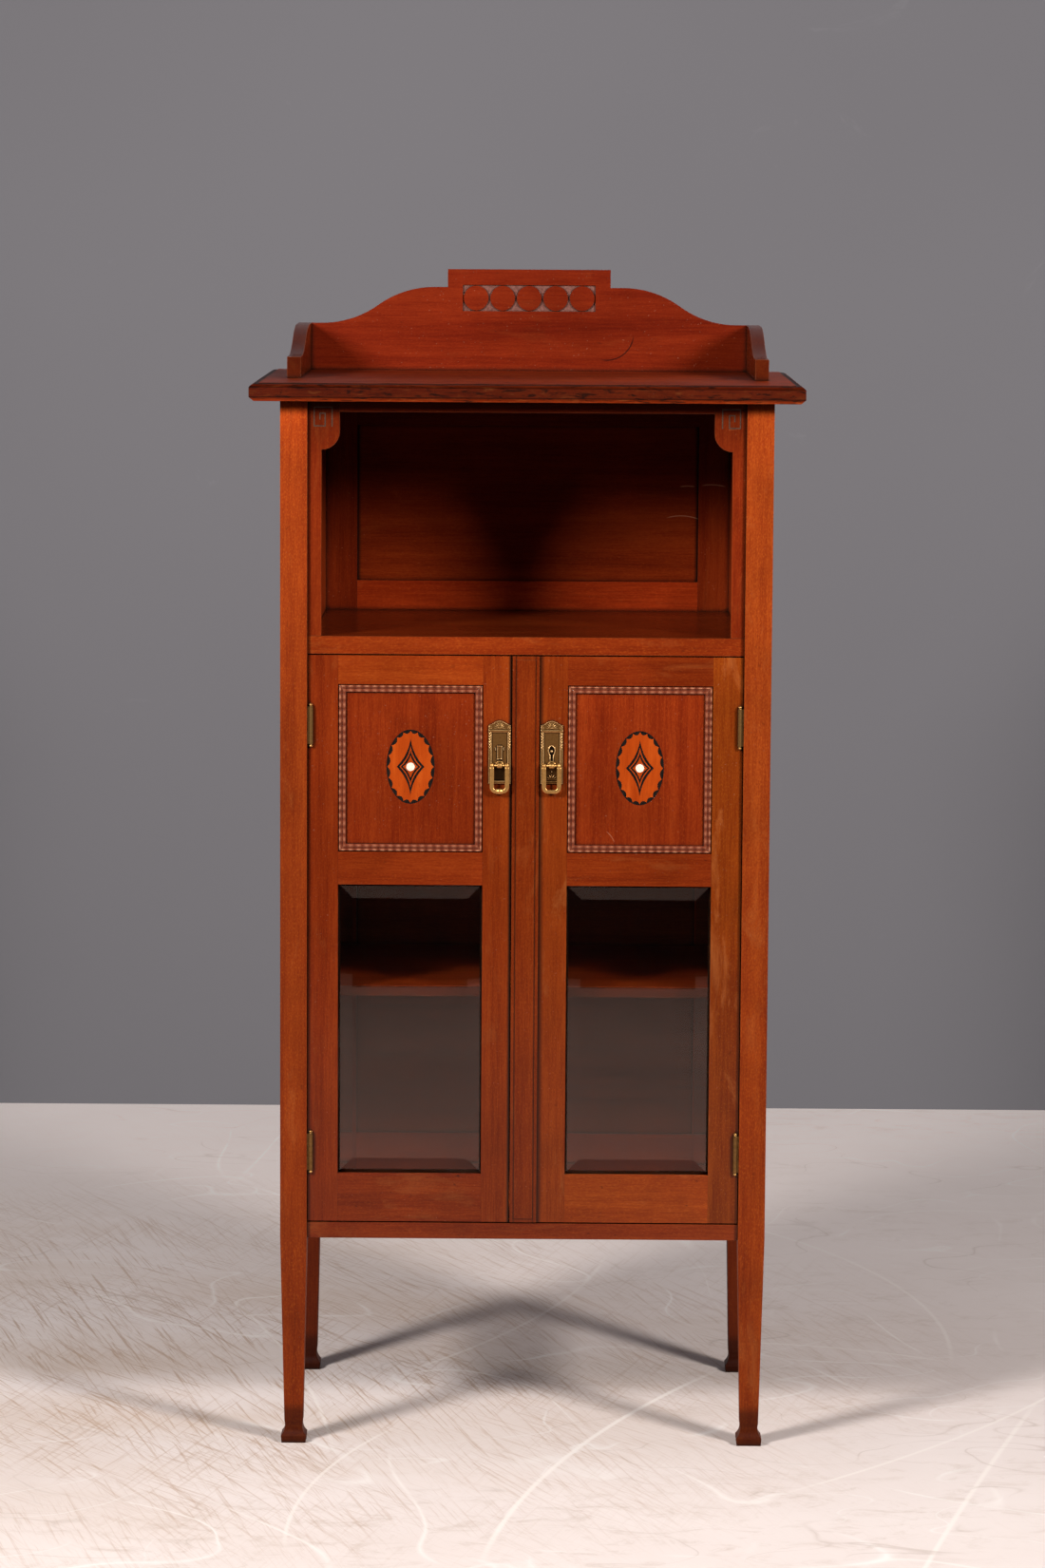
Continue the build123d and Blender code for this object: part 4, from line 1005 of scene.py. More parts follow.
def thin_plate(line, side, level):
    """A plate with this outline, whose front is so many layers proud of the panel."""
    front = PANEL_FRONT - level * LAYER
    count = len(line)
    ring = [(side * PANEL_CENTRE_X + x, OVAL_CENTRE_Z + z) for x, z in line]
    points = [(x, front, z) for x, z in ring] + [(x, PANEL_FRONT + VENEER_DEPTH, z) for x, z in ring]
    faces = [tuple(range(count)), tuple(range(count, 2 * count))]
    faces += [(n, (n + 1) % count, count + (n + 1) % count, count + n) for n in range(count)]
    return points, faces


for side_name, side in (("left", -1), ("right", 1)):
    oval_line = ellipse_line(OVAL_HALF_WIDTH, OVAL_HALF_HEIGHT, 96)
    pearl_line = ellipse_line(PEARL_RADIUS, PEARL_RADIUS, 48)
    dark_lines = (oval_line, 1), (lozenge_line(0.580, 0.770), 3), (lozenge_line(0.414, 0.445), 5)
    light_lines = (scalloped_line(), 2), (lozenge_line(0.455, 0.565), 4), (lozenge_line(0.315, 0.305), 6)
    body = f"door_{side_name}"
    for part, lines, slot, material in (
        ("dark", dark_lines, "ebony", black_material),
        ("ground", light_lines, "satinwood", satinwood_material),
        ("pearl", ((pearl_line, 7),), "pearl", pearl_material),
    ):
        plates = gathered([thin_plate(line, side, level) for line, level in lines])
        piece = mesh_piece(f"oval_{part}_{side_name}", *plates, body, slot, material,
                           [f"{body}_inlay_{part}"])
        for polygon in piece.data.polygons:
            polygon.use_smooth = False

# %% [markdown]
# The handle plates are cast brass with a low relief. A sculptor would model it in wax, and the
# nearest thing in code is a height over every point of the plate: rounded edges, a sunk field, a
# bar or a keyhole, a fan of leaves in the crown, two rosettes and a row of husks down each border.
# The grid is 0.3 mm fine, so the relief stays crisp in a close view.

# %% Handle plates
PLATE_STEP = 0.3
PLATE_HALF = 13.9
PLATE_BOTTOM = 828.6
PLATE_SHOULDER = 72.6
PLATE_CROWN = 5.6
PLATE_PEAK = 0.6
PLATE_BACK = -182.0
PLATE_PLACES = {"left": -31.4, "right": 32.4}
FRONT = 2.4
SUNK = 1.5
PIVOT_UP = 23.2
PIVOT_Z = PLATE_BOTTOM + PIVOT_UP


def smooth(low, high, value):
    share = min(1.0, max(0.0, (value - low) / (high - low)))
    return share * share * (3 - 2 * share)


def crown_line(u):
    return PLATE_SHOULDER + PLATE_CROWN * (1 - smooth(PLATE_PEAK, PLATE_HALF, abs(u)))


def bump(u, v, middle_u, middle_v, size_u, size_v, rise):
    reach = ((u - middle_u) / size_u) ** 2 + ((v - middle_v) / size_v) ** 2
    return rise * (1 - reach) if reach < 1 else 0.0


# %% Ornaments of the relief


def leaf(u, v, root_u, root_v, angle, length, width, rise):
    """A pointed leaf with a rib, growing from its root at an angle from upright."""
    du, dv = u - root_u, v - root_v
    along_leaf = du * math.sin(angle) + dv * math.cos(angle)
    across_leaf = du * math.cos(angle) - dv * math.sin(angle)
    if not 0 < along_leaf < length:
        return 0.0
    half = width * math.sin(math.pi * (along_leaf / length) ** 0.75) + 0.02
    share = abs(across_leaf) / half
    return rise * (1 - share ** 2) * (0.75 + 0.25 * along_leaf / length) if share < 1 else 0.0


def rosette(u, v, middle_u, middle_v, rise):
    reach = math.hypot(u - middle_u, v - middle_v)
    ring = rise * max(0.0, 1 - ((reach - 1.55) / 0.5) ** 2)
    return max(ring, bump(u, v, middle_u, middle_v, 0.75, 0.75, rise))


def border_relief(u, v):
    """Husks down the border, strong in its upper part."""
    rise = 0.62 * smooth(40, 48, v) * (1 - smooth(63, 64.5, v)) + 0.10
    height = 0.0
    first = int((v - 2) / 3.4)
    for number in (first - 1, first, first + 1):
        middle = 3.7 + 3.4 * number
        height = max(height, bump(abs(u), v, 12.1, middle, 1.15, 1.6, rise))
        height = max(height, bump(abs(u), v, 11.0, middle + 1.7, 0.6, 0.8, rise * 0.8))
    return height


def crown_relief(u, v):
    height = max(rosette(u, v, 11.4, 69.4, 0.8), rosette(u, v, -11.4, 69.4, 0.8))
    for number in range(-4, 5):
        angle = math.radians(22 * number)
        length = 8.4 if abs(number) < 2 else 7.2
        height = max(height, leaf(u, v, 0, 68.4, angle, length, 1.0, 0.95))
    return max(height, bump(u, v, 0, 69.2, 4.2, 1.4, 1.15))


# %% Heights of the two plates


def plate_height(u, v):
    """Height over the door for the parts that both plates share."""
    top = crown_line(u)
    inside = min(9.8 - abs(u), v - 3.7, 63.7 - v)
    height = FRONT - (FRONT - SUNK) * smooth(0, 0.8, inside)
    height += 0.35 * max(0.0, 1 - ((inside + 0.75) / 0.5) ** 2)
    if v > 67.0:
        height = FRONT - 0.55 + crown_relief(u, v)
        height = max(height, FRONT + 0.35 * max(0.0, 1 - ((top - v - 0.75) / 0.55) ** 2))
    elif v > 64.6:
        height = FRONT + 0.75 * math.sqrt(max(0.0, 1 - ((v - 65.8) / 1.2) ** 2))
    elif abs(u) > 9.9:
        height += border_relief(u, v)
    edge = min(PLATE_HALF - abs(u), v, top - v)
    return height - 0.8 * (1 - smooth(0, 0.8, edge))


def left_height(u, v):
    """The blind bar over the eye, with its lugs and its beaded foot."""
    height = plate_height(u, v)
    bar = min(3.3 - abs(u), v - 30.0, 47.4 - v)
    height = max(height, SUNK + 1.9 * smooth(-0.1, 0.5, bar) - 0.5 * smooth(0.9, 1.5, bar))
    lug = min(1.1 - abs(abs(u) - 5.1), 2.0 - abs(v - 43.0))
    height = max(height, SUNK + 1.4 * smooth(0, 0.5, lug))
    if abs(abs(u) - 2.7) < 1.3:
        height = max(height, SUNK + bump(abs(u), v, 2.7, 30.4, 1.35, 1.3, 1.5))
    return height


FLAME = ((25.0, 1.0), (31.0, 1.2), (34.5, 1.3), (37.5, 2.6), (41.0, 3.4), (44.0, 2.9), (47.6, 0.2))


def flame_half(v):
    """Half the width of the flame-shaped keyhole."""
    for (low, first), (high, second) in zip(FLAME, FLAME[1:]):
        if low <= v <= high:
            return first + (second - first) * smooth(low, high, v)
    return -1.0


def right_height(u, v):
    """The keyhole is flame-shaped and has a raised rim, and the pin of the lock shows in it."""
    height = plate_height(u, v)
    half = flame_half(v)
    if half > 0:
        rise = 0.55 + 0.55 * smooth(35, 31, v)
        height = max(height, SUNK + rise * max(0.0, 1 - ((abs(u) - half - 0.8) / 0.9) ** 2))
        height -= 1.25 * smooth(-0.1, 0.4, half - abs(u))
    pin = math.hypot(u, v - 40.4)
    if pin < 1.45:
        height = SUNK - 0.1 + 0.9 * math.sqrt(1 - (pin / 1.45) ** 2)
    for number in range(-3, 4):
        height = max(height, SUNK + leaf(u, v, 0, 4.8, math.radians(27 * number), 7.5, 1.1, 0.5))
    return max(height, SUNK + bump(u, v, 0.3, 15.4, 1.2, 1.2, 0.9))


# %% Painted shade and glint of the two plates


def left_painted_shade(u, v):
    """How much darker the brass is here: painted shade behind the bail."""
    return 0.36 * smooth(6.6, 5.4, abs(u)) * smooth(3.6, 5.0, v) * smooth(23, 21, v)


def right_painted_light(u, v):
    # Painted shade in the keyhole and behind the bail, and a painted glint on the pin of the lock.
    half = flame_half(v)
    if math.hypot(u, v - 40.4) < 1.4:
        return -0.35
    return 0.6 if half > abs(u) else 0.25 * smooth(6.6, 5.4, abs(u)) * smooth(23, 21, v)


# %% Mesh of a plate


def plate_mesh(centre, height_at, painted_light_at):
    """Points, faces and tones of a plate. A tone compares a point with its neighbours 0.9 mm away, and takes
    in the painted shade and glint of the plate.
    """
    columns = int(2 * PLATE_HALF / PLATE_STEP) + 1
    lower = [PLATE_STEP * n for n in range(int(66 / PLATE_STEP))]
    crown_rows = 40
    rows = len(lower) + crown_rows
    places, heights = [], []
    for row in range(rows):
        for column in range(columns):
            u = -PLATE_HALF + 2 * PLATE_HALF * column / (columns - 1)
            if row < len(lower):
                v = lower[row]
            else:
                share = (row - len(lower) + 1) / crown_rows
                v = lower[-1] + (crown_line(u) - lower[-1]) * share
            places.append((u, v))
            heights.append(max(height_at(u, v), 0.1))
    points = [(centre + u, PLATE_BACK - height, PLATE_BOTTOM + v) for (u, v), height in zip(places, heights)]
    tones = []
    for index, (u, v) in enumerate(places):
        row, column = divmod(index, columns)
        around = [
            heights[min(rows - 1, max(0, row + down)) * columns + min(columns - 1, max(0, column + across))]
            for down, across in ((3, 0), (-3, 0), (0, 3), (0, -3))
        ]
        tone = 0.47 + 1.5 * (heights[index] - sum(around) / len(around)) - painted_light_at(u, v)
        tones.append(min(1.0, max(0.0, tone)))
    faces = grid_faces(rows, columns)
    rim = list(range(columns))
    rim += [r * columns + columns - 1 for r in range(1, rows)]
    rim += [(rows - 1) * columns + c for c in range(columns - 2, -1, -1)]
    rim += [r * columns for r in range(rows - 2, 0, -1)]
    start = len(points)
    for index in rim:
        x, _, z = points[index]
        points.append((x, PLATE_BACK, z))
    count = len(rim)
    faces += [(rim[n], rim[(n + 1) % count], start + (n + 1) % count, start + n) for n in range(count)]
    return points, faces, tones


# %% [markdown]
# An eye stands out of each plate on a short neck and carries the pin of the bail, and a thin ring
# lies round its upper half. The eye and the neck are turned on a lathe, so here they are turned too:
# a profile of radii goes round an axis. The ring is a tube along part of a circle.

# %% Plates with their eyes


def ring_arc(centre, major, minor, start_angle, end_angle, steps=24, around=10):
    """Part of a ring that stands upright and faces the front, with rounded ends."""
    points = []
    for step in range(steps + 1):
        angle = start_angle + (end_angle - start_angle) * step / steps
        taper = min(1.0, math.sqrt(min(step + 0.2, steps - step + 0.2) / 3))
        for turn in range(around):
            roll = 2 * math.pi * turn / around
            reach = major + minor * taper * math.cos(roll)
            x, z = centre[0] + reach * math.cos(angle), centre[2] + reach * math.sin(angle)
            points.append((x, centre[1] + minor * taper * math.sin(roll), z))
    faces = []
    for step in range(steps):
        for turn in range(around):
            after = (turn + 1) % around
            here, beyond = step * around, (step + 1) * around
            faces.append((here + turn, here + after, beyond + after, beyond + turn))
    faces += [tuple(range(around)), tuple(range(steps * around, (steps + 1) * around))]
    return points, faces


PIVOT_Y = -189.4
EYE_PROFILE = [
    (-3.3, 1.6), (-3.3, 2.6), (-2.6, 3.35), (-1.2, 3.6), (-0.5, 3.25),
    (0.5, 3.25), (1.2, 3.6), (2.6, 3.35), (3.3, 2.6), (3.3, 1.6),
]
PLATE_RELIEFS = {"left": (left_height, left_painted_shade), "right": (right_height, right_painted_light)}
for side_name, (height_at, painted_light_at) in PLATE_RELIEFS.items():
    centre = PLATE_PLACES[side_name]
    pivot = (centre, PIVOT_Y, PIVOT_Z)
    neck = turned([(0, 2.5), (2.2, 2.2), (4.4, 2.6), (6.2, 3.2)], pivot, "Y", 24)
    plate_points, plate_faces, plate_tones = plate_mesh(centre, height_at, painted_light_at)
    mesh_piece(f"plate_{side_name}", plate_points, plate_faces, f"door_{side_name}", "brass", plate_brass,
               [f"door_{side_name}_handle_plate"], plate_tones)
    mesh_piece(f"plate_eye_{side_name}", *gathered([
        turned(EYE_PROFILE, pivot, "X", 28), neck,
        ring_arc((centre, -186.4, pivot[2]), 4.5, 0.95, math.radians(-15), math.radians(195)),
    ]), f"door_{side_name}", "brass", eye_brass)

# %% [markdown]
# The bails are flat bars bent to a U, with ball ears at the top that turn on a pin. A curve with a
# bevel would do for a round bar, but these get narrower towards the foot, so a section with softened
# corners is carried along the line of the U. The left one has a grooved sleeve at its foot.

# %% Bails
BAIL_HALF = 9.3
BAIL_DROP = 34.6
BAR_WIDTH = 5.2
BAR_THICK = 3.6
FOOT_RADIUS = 5.6


def bail_line():
    """Points down one bar, round the foot and up the other, with the width of the bar there."""
    foot = -BAIL_DROP + BAR_WIDTH / 2
    line = [(-BAIL_HALF, -1.0 - (-foot - FOOT_RADIUS - 1.0) * n / 8, BAR_WIDTH) for n in range(9)]
    for n in range(1, 11):
        angle = math.pi + math.pi / 2 * n / 10
        x = -BAIL_HALF + FOOT_RADIUS + FOOT_RADIUS * math.cos(angle)
        z = foot + FOOT_RADIUS + FOOT_RADIUS * math.sin(angle)
        line.append((x, z, BAR_WIDTH - 0.5 * n / 10))
    half = BAIL_HALF - FOOT_RADIUS
    line += [(-half + half * n / 3, foot, BAR_WIDTH - 0.5 - 0.2 * n / 3) for n in range(1, 4)]
    return line + [(-x, z, width) for x, z, width in reversed(line[:-1])]


def bar_section(width):
    half, thick, soft = width / 2, BAR_THICK / 2, 0.95
    corners = []
    for turn, (side_x, side_y) in enumerate(((1, -1), (1, 1), (-1, 1), (-1, -1))):
        for step in range(4):
            angle = math.radians(-90 + 90 * turn + 30 * step)
            across = side_x * (half - soft) + soft * math.cos(angle)
            deep = side_y * (thick - soft) + soft * math.sin(angle)
            corners.append((across, deep))
    return corners


# %% Mesh of a bail


def bail_mesh(centre):
    line = bail_line()
    points, faces = [], []
    count = 16
    for number, (x, z, width) in enumerate(line):
        before, after = line[max(0, number - 1)], line[min(len(line) - 1, number + 1)]
        way = (after[0] - before[0], after[1] - before[1])
        length = math.hypot(*way)
        side_x, side_z = -way[1] / length, way[0] / length
        for across, deep in bar_section(width):
            points.append((centre + x + across * side_x, PIVOT_Y + deep, PIVOT_Z + z + across * side_z))
        if number:
            start = (number - 1) * count
            for n in range(count):
                beside = start + (n + 1) % count
                faces.append((start + n, beside, count + beside, start + count + n))
    faces += [tuple(range(count)), tuple(range((len(line) - 1) * count, len(line) * count))]
    return points, faces


# %% Both bails
for side_name in ("left", "right"):
    centre = PLATE_PLACES[side_name]
    pivot = (centre, PIVOT_Y, PIVOT_Z)
    shapes = [bail_mesh(centre), turned([(-BAIL_HALF, 1.4), (BAIL_HALF, 1.4)], pivot, "X", 16)]
    for way in (-1, 1):
        ear = (centre + way * BAIL_HALF, PIVOT_Y, PIVOT_Z)
        shapes.append(turned(ball_profile(2.75, 2.75, 11), ear, "X", 24))
    if side_name == "left":
        sleeve = [
            (-4.4, 2.4), (-4.3, 3.1), (-3.0, 3.3), (-2.7, 2.7), (-2.4, 3.3), (0, 3.45),
            (2.4, 3.3), (2.7, 2.7), (3.0, 3.3), (4.3, 3.1), (4.4, 2.4),
        ]
        shapes.append(turned(sleeve, (centre, PIVOT_Y, PIVOT_Z - BAIL_DROP + 2.6), "X", 24, 0.72))
    bail = f"bail_{side_name}"
    mesh_piece(f"{bail}_bar", *gathered(shapes), bail, "brass", bail_brass, [bail])

# %% [markdown]
# Hinge pins. Each ends in a small ball above and below its barrel, turned in one with the pin. The
# profile of the whole pin is listed once and turned at the four places.

# %% Hinge pins with ball tips
HINGE_X = 262.4
HINGE_Y = -185.1
HINGE_HALF = 23.0
HINGE_CENTRES = (369.0, 899.5)
TIP = [
    (0.0, 1.3), (0.1, 2.1), (0.5, 2.2), (0.75, 1.5), (1.0, 1.5),
    (1.4, 2.05), (2.1, 2.35), (2.9, 2.15), (3.6, 1.4), (3.95, 0.5),
]
pin_profile = [(-HINGE_HALF - place, radius) for place, radius in reversed(TIP)]
pin_profile += [(HINGE_HALF + place, radius) for place, radius in TIP]
hinge_places = [(side * HINGE_X, HINGE_Y, centre) for side in (-1, 1) for centre in HINGE_CENTRES]
pins = gathered([turned(pin_profile, place, "Z", 20) for place in hinge_places])
mesh_piece("hinge_pin_tips", *pins, "cabinet", "brass", tip_brass, ["hinge_pins"])

# %% [markdown]
# Screws. Each leaf is held by three countersunk screws with a slot, flush with the brass. They only
# show when a door stands open. A slot could be cut out with a boolean, but a head that is a small
# round grid, whose points sink along the slot, has no thin faces and needs no cutter.

# %% Screws in the hinge leaves
SCREW_DEPTH = -175.0
SCREW_PLACES = (-15.0, 0.0, 15.0)
SCREW_RINGS = (0.0, 0.35, 0.42, 0.8, 1.2, 1.6, 1.95, 2.1)
FRAME_LEAF, DOOR_LEAF = 266.6, 266.4


def screw_head(x, z, way, turn):
    """A flat head whose face looks along x, to the side that way says."""
    points, faces, tones = [], [], []
    steps = 28
    for ring, radius in enumerate(SCREW_RINGS):
        for step in range(steps):
            angle = 2 * math.pi * step / steps
            across, up = radius * math.cos(angle), radius * math.sin(angle)
            from_slot = abs(across * math.sin(turn) - up * math.cos(turn))
            in_slot = from_slot < 0.36
            lift = -0.25 if in_slot else (-0.03 if ring == len(SCREW_RINGS) - 1 else 0.03)
            points.append((x + way * lift, SCREW_DEPTH + across, z + up))
            tones.append(0.08 if in_slot else (0.30 if ring == len(SCREW_RINGS) - 1 else 0.60))
    faces = grid_faces(len(SCREW_RINGS), steps)
    faces += [(r * steps + steps - 1, r * steps, (r + 1) * steps, (r + 1) * steps + steps - 1)
              for r in range(len(SCREW_RINGS) - 1)]
    return points, faces, tones


def screw_set(heads):
    made = [screw_head(*head) for head in heads]
    points, faces = gathered([(points, faces) for points, faces, tones in made])
    return points, faces, [tone for _, _, tones in made for tone in tones]


# %% Three sets of screws
screw_brass = aged_shaded_brass("brass_screw", 0.70, True)
for name, body, sides, leaf_x, way in (
    ("hinge_screws_frame", "cabinet", (-1, 1), FRAME_LEAF, -1),
    ("hinge_screws_left", "door_left", (-1,), DOOR_LEAF, 1),
    ("hinge_screws_right", "door_right", (1,), DOOR_LEAF, 1),
):
    heads = [(side * leaf_x, centre + up, side * way, 0.7 * up + centre) for side in sides
             for centre in HINGE_CENTRES for up in SCREW_PLACES]
    screw_points, screw_faces, screw_tones = screw_set(heads)
    mesh_piece(name, screw_points, screw_faces, body, "brass", screw_brass, (), screw_tones)

# %% [markdown]
# The carved row in the gallery. Its ground was sunk with a gouge and then punched all over with a
# blunt nail, which leaves it dull, pitted and paler than the polish. A thin sheet with the pits in
# its mesh lies on the floor of the sinking, and the five discs of the CAD model stand through it.

# %% Punched ground of the carving
CARVING_HALF = 85.5
CARVING_LOW = 1394.4
CARVING_HIGH = 1428.0
CARVING_FLOOR = 212.0
CARVING_STEP = 0.55
PUNCH_PITCH = 1.9


def punched_ground():
    columns = int(2 * CARVING_HALF / CARVING_STEP)
    rows = int((CARVING_HIGH - CARVING_LOW) / CARVING_STEP)
    punches = random.Random(5)
    pits = {}
    points = []
    for row in range(rows):
        for column in range(columns):
            x = -CARVING_HALF + 2 * CARVING_HALF * column / (columns - 1)
            z = CARVING_LOW + (CARVING_HIGH - CARVING_LOW) * row / (rows - 1)
            cell = (int(x // PUNCH_PITCH), int(z // PUNCH_PITCH))
            if cell not in pits:
                place_x, place_z = punches.uniform(0.3, 0.7), punches.uniform(0.3, 0.7)
                pits[cell] = (place_x, place_z, punches.uniform(0.3, 0.55))
            pit_x, pit_z, depth = pits[cell]
            reach = math.hypot(x / PUNCH_PITCH - cell[0] - pit_x, z / PUNCH_PITCH - cell[1] - pit_z)
            height = 0.75 - depth * max(0.0, 1 - (reach / 0.42) ** 2)
            points.append((x, CARVING_FLOOR - height, z))
    return points, grid_faces(rows, columns)


def punched_wood():
    wood = Chain("punched_wood")
    grime = wood.noise(wood.place((300, 300, 300)), 1.0, 3, 0.6)
    # Painted shade with old polish: black in the pits and round the discs, where the ambient occlusion node
    # finds a hollow.
    hollow_shade = wood.add("ShaderNodeAmbientOcclusion", {"Distance": 0.0025}, samples=4).outputs["AO"]
    colour = wood.ramp(grime, [(0.3, (0.105, 0.034, 0.024)), (0.7, (0.200, 0.085, 0.066))])
    colour = wood.mix(wood.ramp(hollow_shade, [(0.30, grey(0)), (0.80, grey(1))]), BLACK_POLISH_AND_SHADE, colour)
    return wood.finish(Base_Color=colour, Roughness=0.75, Specular_IOR_Level=0.2)


mesh_piece("carved_ground", *punched_ground(), "cabinet", "mahogany", punched_wood())

# %% [markdown]
# The studio: a pale painted floor and a grey wall two metres behind the cabinet. The floor is worn:
# fine brown strokes and haze to the left of the cabinet, long pale streaks, and hair lines all over.
# A picture of a floor could be laid on it, but nodes stay sharp at any distance. The few streaks
# that catch the eye are drawn one by one, and noise makes the rest.

# %% Sheets and scuffs
WALL_PLACE = 2.03
FLOOR_SIDE = 6.0
FLOOR_FRONT = -3.6
WALL_TOP = 5.0


def sheet(name, corners, material):
    mesh = bpy.data.meshes.new(name)
    mesh.from_pydata(corners, [], [(0, 1, 2, 3)])
    mesh.materials.append(material)
    piece = bpy.data.objects.new(name, mesh)
    bpy.context.scene.collection.objects.link(piece)
    return piece


SCUFFED_PLACE = (-0.55, 0.30, 0)
SCUFFED_REACH = 1.2


def hair_lines(paint, scale, turn, offset, width):
    """Thin curved lines, where a slow noise passes through its middle level."""
    slow = paint.noise(paint.place(scale, offset, turn), 1.0, 1, 0.5, 0.6)
    away = paint.math("ABSOLUTE", paint.math("SUBTRACT", slow, 0.5))
    return paint.ramp(away, [(0.0, grey(1)), (width, grey(0))])


# Strokes of the brush or broom: turn, offset, scale and strength
STROKES = (
    (1.12, (1, 4, 0), (3.0, 150, 1), 0.60), (1.30, (6, 2, 0), (4.0, 190, 1), 0.60),
    (-1.28, (3, 9, 0), (4.0, 170, 1), 0.30), (0.85, (8, 5, 0), (6.0, 210, 1), 0.55),
)

# Long pale streaks: three points on the floor, a width and a strength
STREAKS = (
    (((-0.044, -0.719, 0), (0.061, -0.229, 0), (0.271, 0.221, 0)), 0.0050, 0.8),
    (((0.673, 0.071, 0), (0.522, -0.475, 0), (0.464, -0.706, 0)), 0.0045, 0.7),
    (((0.640, 0.000, 0), (0.560, -0.120, 0), (0.300, -0.420, 0)), 0.0040, 0.6),
    (((0.379, 1.030, 0), (0.516, 0.751, 0), (0.568, 0.220, 0)), 0.0040, 0.5),
    (((-0.271, -0.617, 0), (-0.250, -0.370, 0), (-0.155, -0.097, 0)), 0.0035, 0.6),
    (((-0.420, 0.620, 0), (-0.300, 0.200, 0), (-0.240, -0.150, 0)), 0.0035, 0.5),
    (((0.120, 0.900, 0), (0.020, 0.500, 0), (-0.090, 0.280, 0)), 0.0040, 0.5),
    (((0.560, 0.260, 0), (0.420, 0.330, 0), (0.250, 0.360, 0)), 0.0045, 0.5),
)

# Hair lines: scale, turn, offset, width, strength and colour
HAIR_LINES = (
    ((1.1, 2.1, 1), (0, 0, 0.6), (4, 1, 0), 0.0045, 0.80, (1.0, 0.95, 0.92, 1)),
    ((2.3, 0.9, 1), (0, 0, -0.4), (9, 5, 0), 0.0035, 0.75, (1.0, 0.94, 0.90, 1)),
    ((4.5, 7.0, 1), (0, 0, 0.2), (2, 8, 0), 0.0060, 0.35, (0.42, 0.32, 0.25, 1)),
    ((5.0, 3.0, 1), (0, 0, 1.1), (7, 3, 0), 0.0070, 0.60, (0.98, 0.93, 0.90, 1)),
)
print("streaks on the floor:", len(STREAKS))

# %% Floor paint


def dirty_paint(paint):
    """The pale paint with its soft clouds and patches of dirt."""
    clouds = paint.noise(paint.place((1.2, 1.2, 1)), 1.0, 5, 0.6)
    colour = paint.ramp(clouds, [(0.3, (0.83, 0.735, 0.70)), (0.7, (0.93, 0.84, 0.81))])
    patches = paint.noise(paint.place((0.9, 1.4, 1), (3.1, 0.4, 0)), 1.0, 2, 0.5)
    patch_mask = paint.ramp(patches, [(0.45, grey(0)), (0.62, grey(1))])
    dirt = paint.noise(paint.place((14, 26, 1)), 1.0, 8, 0.75, 0.8)
    dirt_mask = paint.ramp(dirt, [(0.52, grey(0)), (0.66, grey(1))])
    patch_share = paint.math("ADD", paint.math("MULTIPLY", patch_mask, 0.30), 0.04)
    dirt_mask = paint.math("MULTIPLY", dirt_mask, patch_share)
    return paint.mix(dirt_mask, colour, (0.47, 0.35, 0.26, 1))


def scuffed_paint(paint, colour):
    """Strokes and haze, strong near one place and faint elsewhere."""
    away = paint.math("DIVIDE", paint.distance(SCUFFED_PLACE), SCUFFED_REACH, clamp=True)
    near_mask = paint.ramp(away, [(0.35, grey(1)), (1.0, grey(0.04))])
    for turn, offset, scale, strength in STROKES:
        strokes = paint.noise(paint.place(scale, offset, (0, 0, turn)), 1.0, 4, 0.7, 0.5)
        stroke_mask = paint.ramp(strokes, [(0.55, grey(0)), (0.62, grey(strength))])
        groups = paint.noise(paint.place((2.2, 2.2, 1), offset), 1.0, 3, 0.6)
        group_mask = paint.ramp(groups, [(0.40, grey(0)), (0.52, grey(1))])
        stroke_mask = paint.math("MULTIPLY", paint.math("MULTIPLY", stroke_mask, group_mask), near_mask)
        colour = paint.mix(stroke_mask, colour, (0.42, 0.235, 0.115, 1))
    haze = paint.noise(paint.place((1.5, 3.0, 1), (5, 1, 0)), 1.0, 4, 0.6)
    haze_mask = paint.math("MULTIPLY", paint.ramp(haze, [(0.40, grey(0)), (0.62, grey(0.42))]), near_mask)
    return paint.mix(haze_mask, colour, (0.66, 0.50, 0.38, 1))


def floor_paint():
    paint = Chain("floor_paint")
    colour = scuffed_paint(paint, dirty_paint(paint))
    for points, width, strength in STREAKS:
        line = paint.math("MULTIPLY", paint.scratch(*points, width), strength)
        colour = paint.mix(line, colour, (1.0, 0.93, 0.88, 1))
    for scale, turn, offset, width, strength, line_colour in HAIR_LINES:
        broken = paint.noise(paint.place((3, 3, 1), offset), 1.0, 3, 0.6)
        broken_mask = paint.ramp(broken, [(0.48, grey(0)), (0.58, grey(1))])
        lines = paint.math("MULTIPLY", hair_lines(paint, scale, turn, offset, width), broken_mask)
        colour = paint.mix(paint.math("MULTIPLY", lines, strength), colour, line_colour)
    ray = paint.add("ShaderNodeLightPath").outputs
    colour = paint.mix(ray["Is Diffuse Ray"], colour, (0.11, 0.10, 0.095, 1))
    colour = paint.mix(ray["Is Glossy Ray"], colour, (0.58, 0.395, 0.335, 1))
    place = paint.add("ShaderNodeTexCoord").outputs["Object"]
    depth = paint.add("ShaderNodeSeparateXYZ", {0: place}).outputs["Y"]
    depth = paint.math("DIVIDE", depth, WALL_PLACE, clamp=True)
    # A painted glow that only the camera sees, brighter towards the wall at the far end of the floor.
    far = paint.ramp(depth, [(0.05, grey(0)), (1.0, grey(0.16))])
    painted_glow = paint.math("MULTIPLY", far, ray["Is Camera Ray"])
    return paint.finish(Base_Color=colour, Roughness=0.5, Emission_Color=(1, 0.90, 0.88, 1),
                        Emission_Strength=painted_glow)


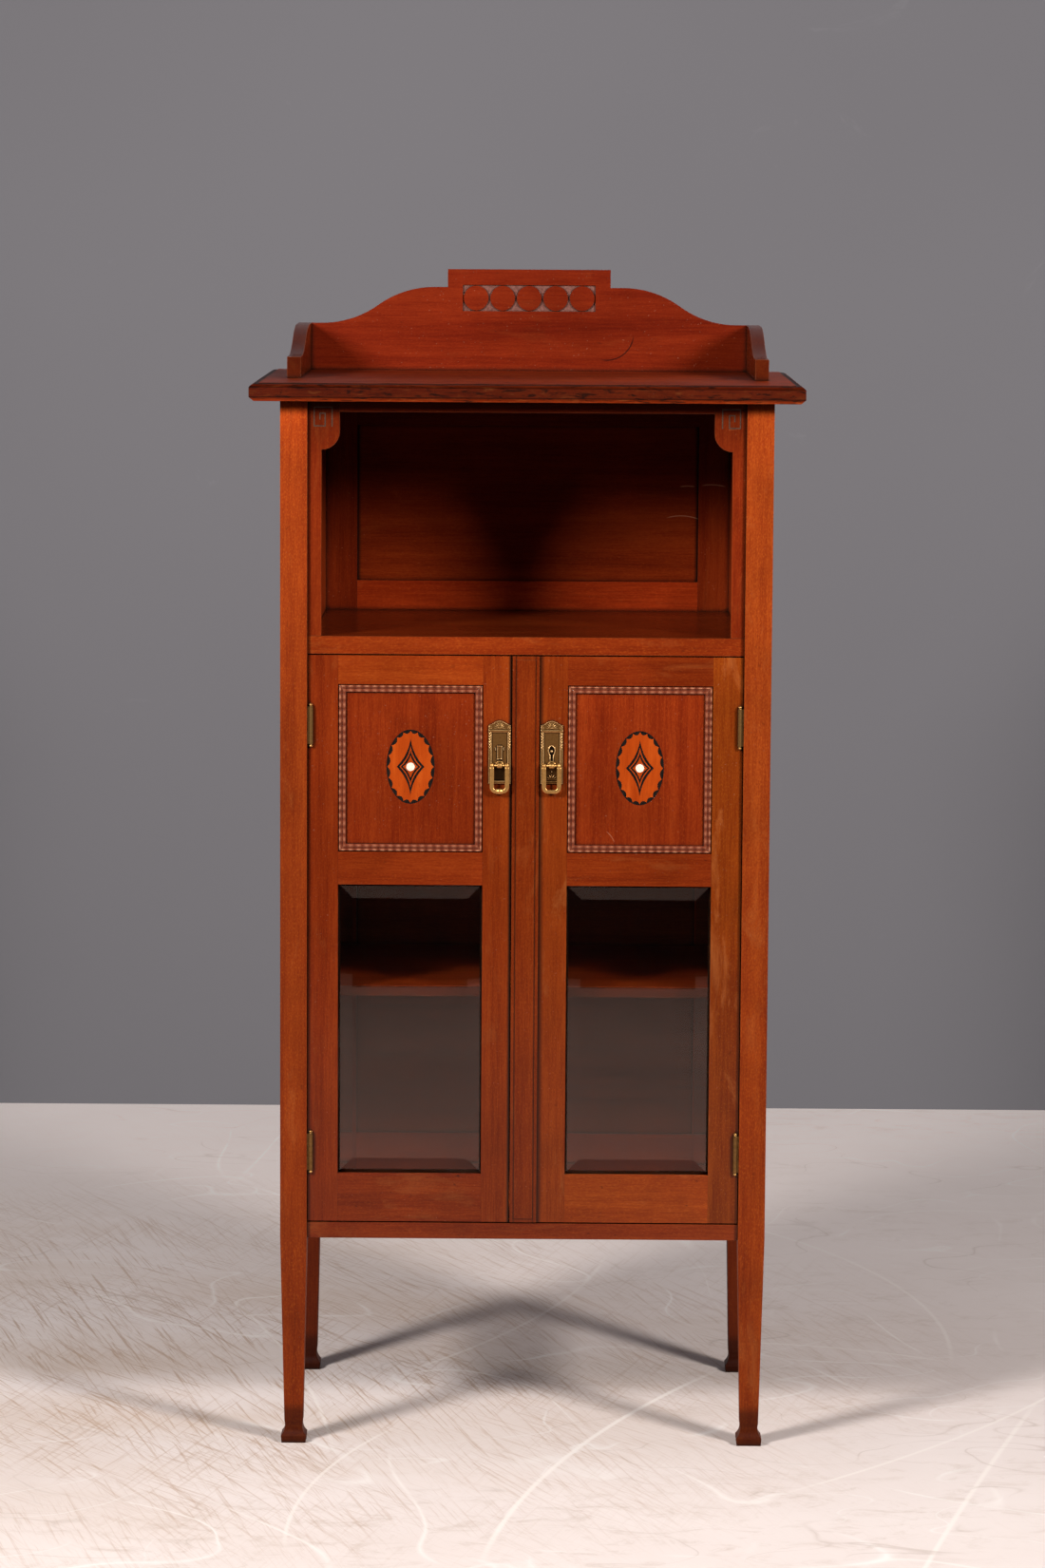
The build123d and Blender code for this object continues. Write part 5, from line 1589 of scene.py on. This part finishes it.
# %% [markdown]
# The wall is grey with a few pale stains. It is only there from the front, so that the back of the
# cabinet can be seen too: its rear side is clear, which the Backfacing output tells.

# %% Wall paint


def wall_paint():
    paint = Chain("wall_paint")
    clouds = paint.noise(paint.place((0.8, 0.8, 0.8)), 1.0, 3, 0.5)
    colour = paint.ramp(clouds, [(0.3, WALL_GREY), (0.7, (0.206, 0.202, 0.222))])
    stains = paint.noise(paint.place((5, 5, 9)), 1.0, 6, 0.7, 1.0)
    stain_mask = paint.ramp(stains, [(0.66, grey(0)), (0.74, grey(0.10))])
    colour = paint.mix(stain_mask, colour, (0.42, 0.42, 0.44, 1))
    paint.finish(Base_Color=colour, Roughness=0.8)
    behind = paint.add("ShaderNodeNewGeometry").outputs["Backfacing"]
    open_air = paint.add("ShaderNodeBsdfTransparent")
    both = paint.add("ShaderNodeMixShader", {0: behind, 1: paint.shader.outputs[0], 2: open_air.outputs[0]})
    paint.links.new(both.outputs[0], paint.output.inputs["Surface"])
    return paint.material


# %% Floor and wall
studio_floor = sheet("floor", [
    (-FLOOR_SIDE, FLOOR_FRONT, 0), (FLOOR_SIDE, FLOOR_FRONT, 0),
    (FLOOR_SIDE, WALL_PLACE, 0), (-FLOOR_SIDE, WALL_PLACE, 0),
], floor_paint())
studio_wall = sheet("wall", [
    (-FLOOR_SIDE, WALL_PLACE, 0), (FLOOR_SIDE, WALL_PLACE, 0),
    (FLOOR_SIDE, WALL_PLACE, WALL_TOP), (-FLOOR_SIDE, WALL_PLACE, WALL_TOP),
], wall_paint())
print("floor and wall:", studio_floor.name, studio_wall.name)

# %% [markdown]
# The lamp behind must not change the floor and the wall, which the photograph shows as the two
# front lamps light them. Light linking gives a lamp a list of what it lights. Here the list names
# the two sheets and excludes them, so the lamp still lights every piece of the cabinet.

# %% The back lamp lights neither floor nor wall
unlit = bpy.data.collections.new("unlit_from_behind")
for piece in (studio_floor, studio_wall):
    unlit.objects.link(piece)
for member in unlit.collection_objects:
    member.light_linking.link_state = "EXCLUDE"
back_lamp.light_linking.receiver_collection = unlit
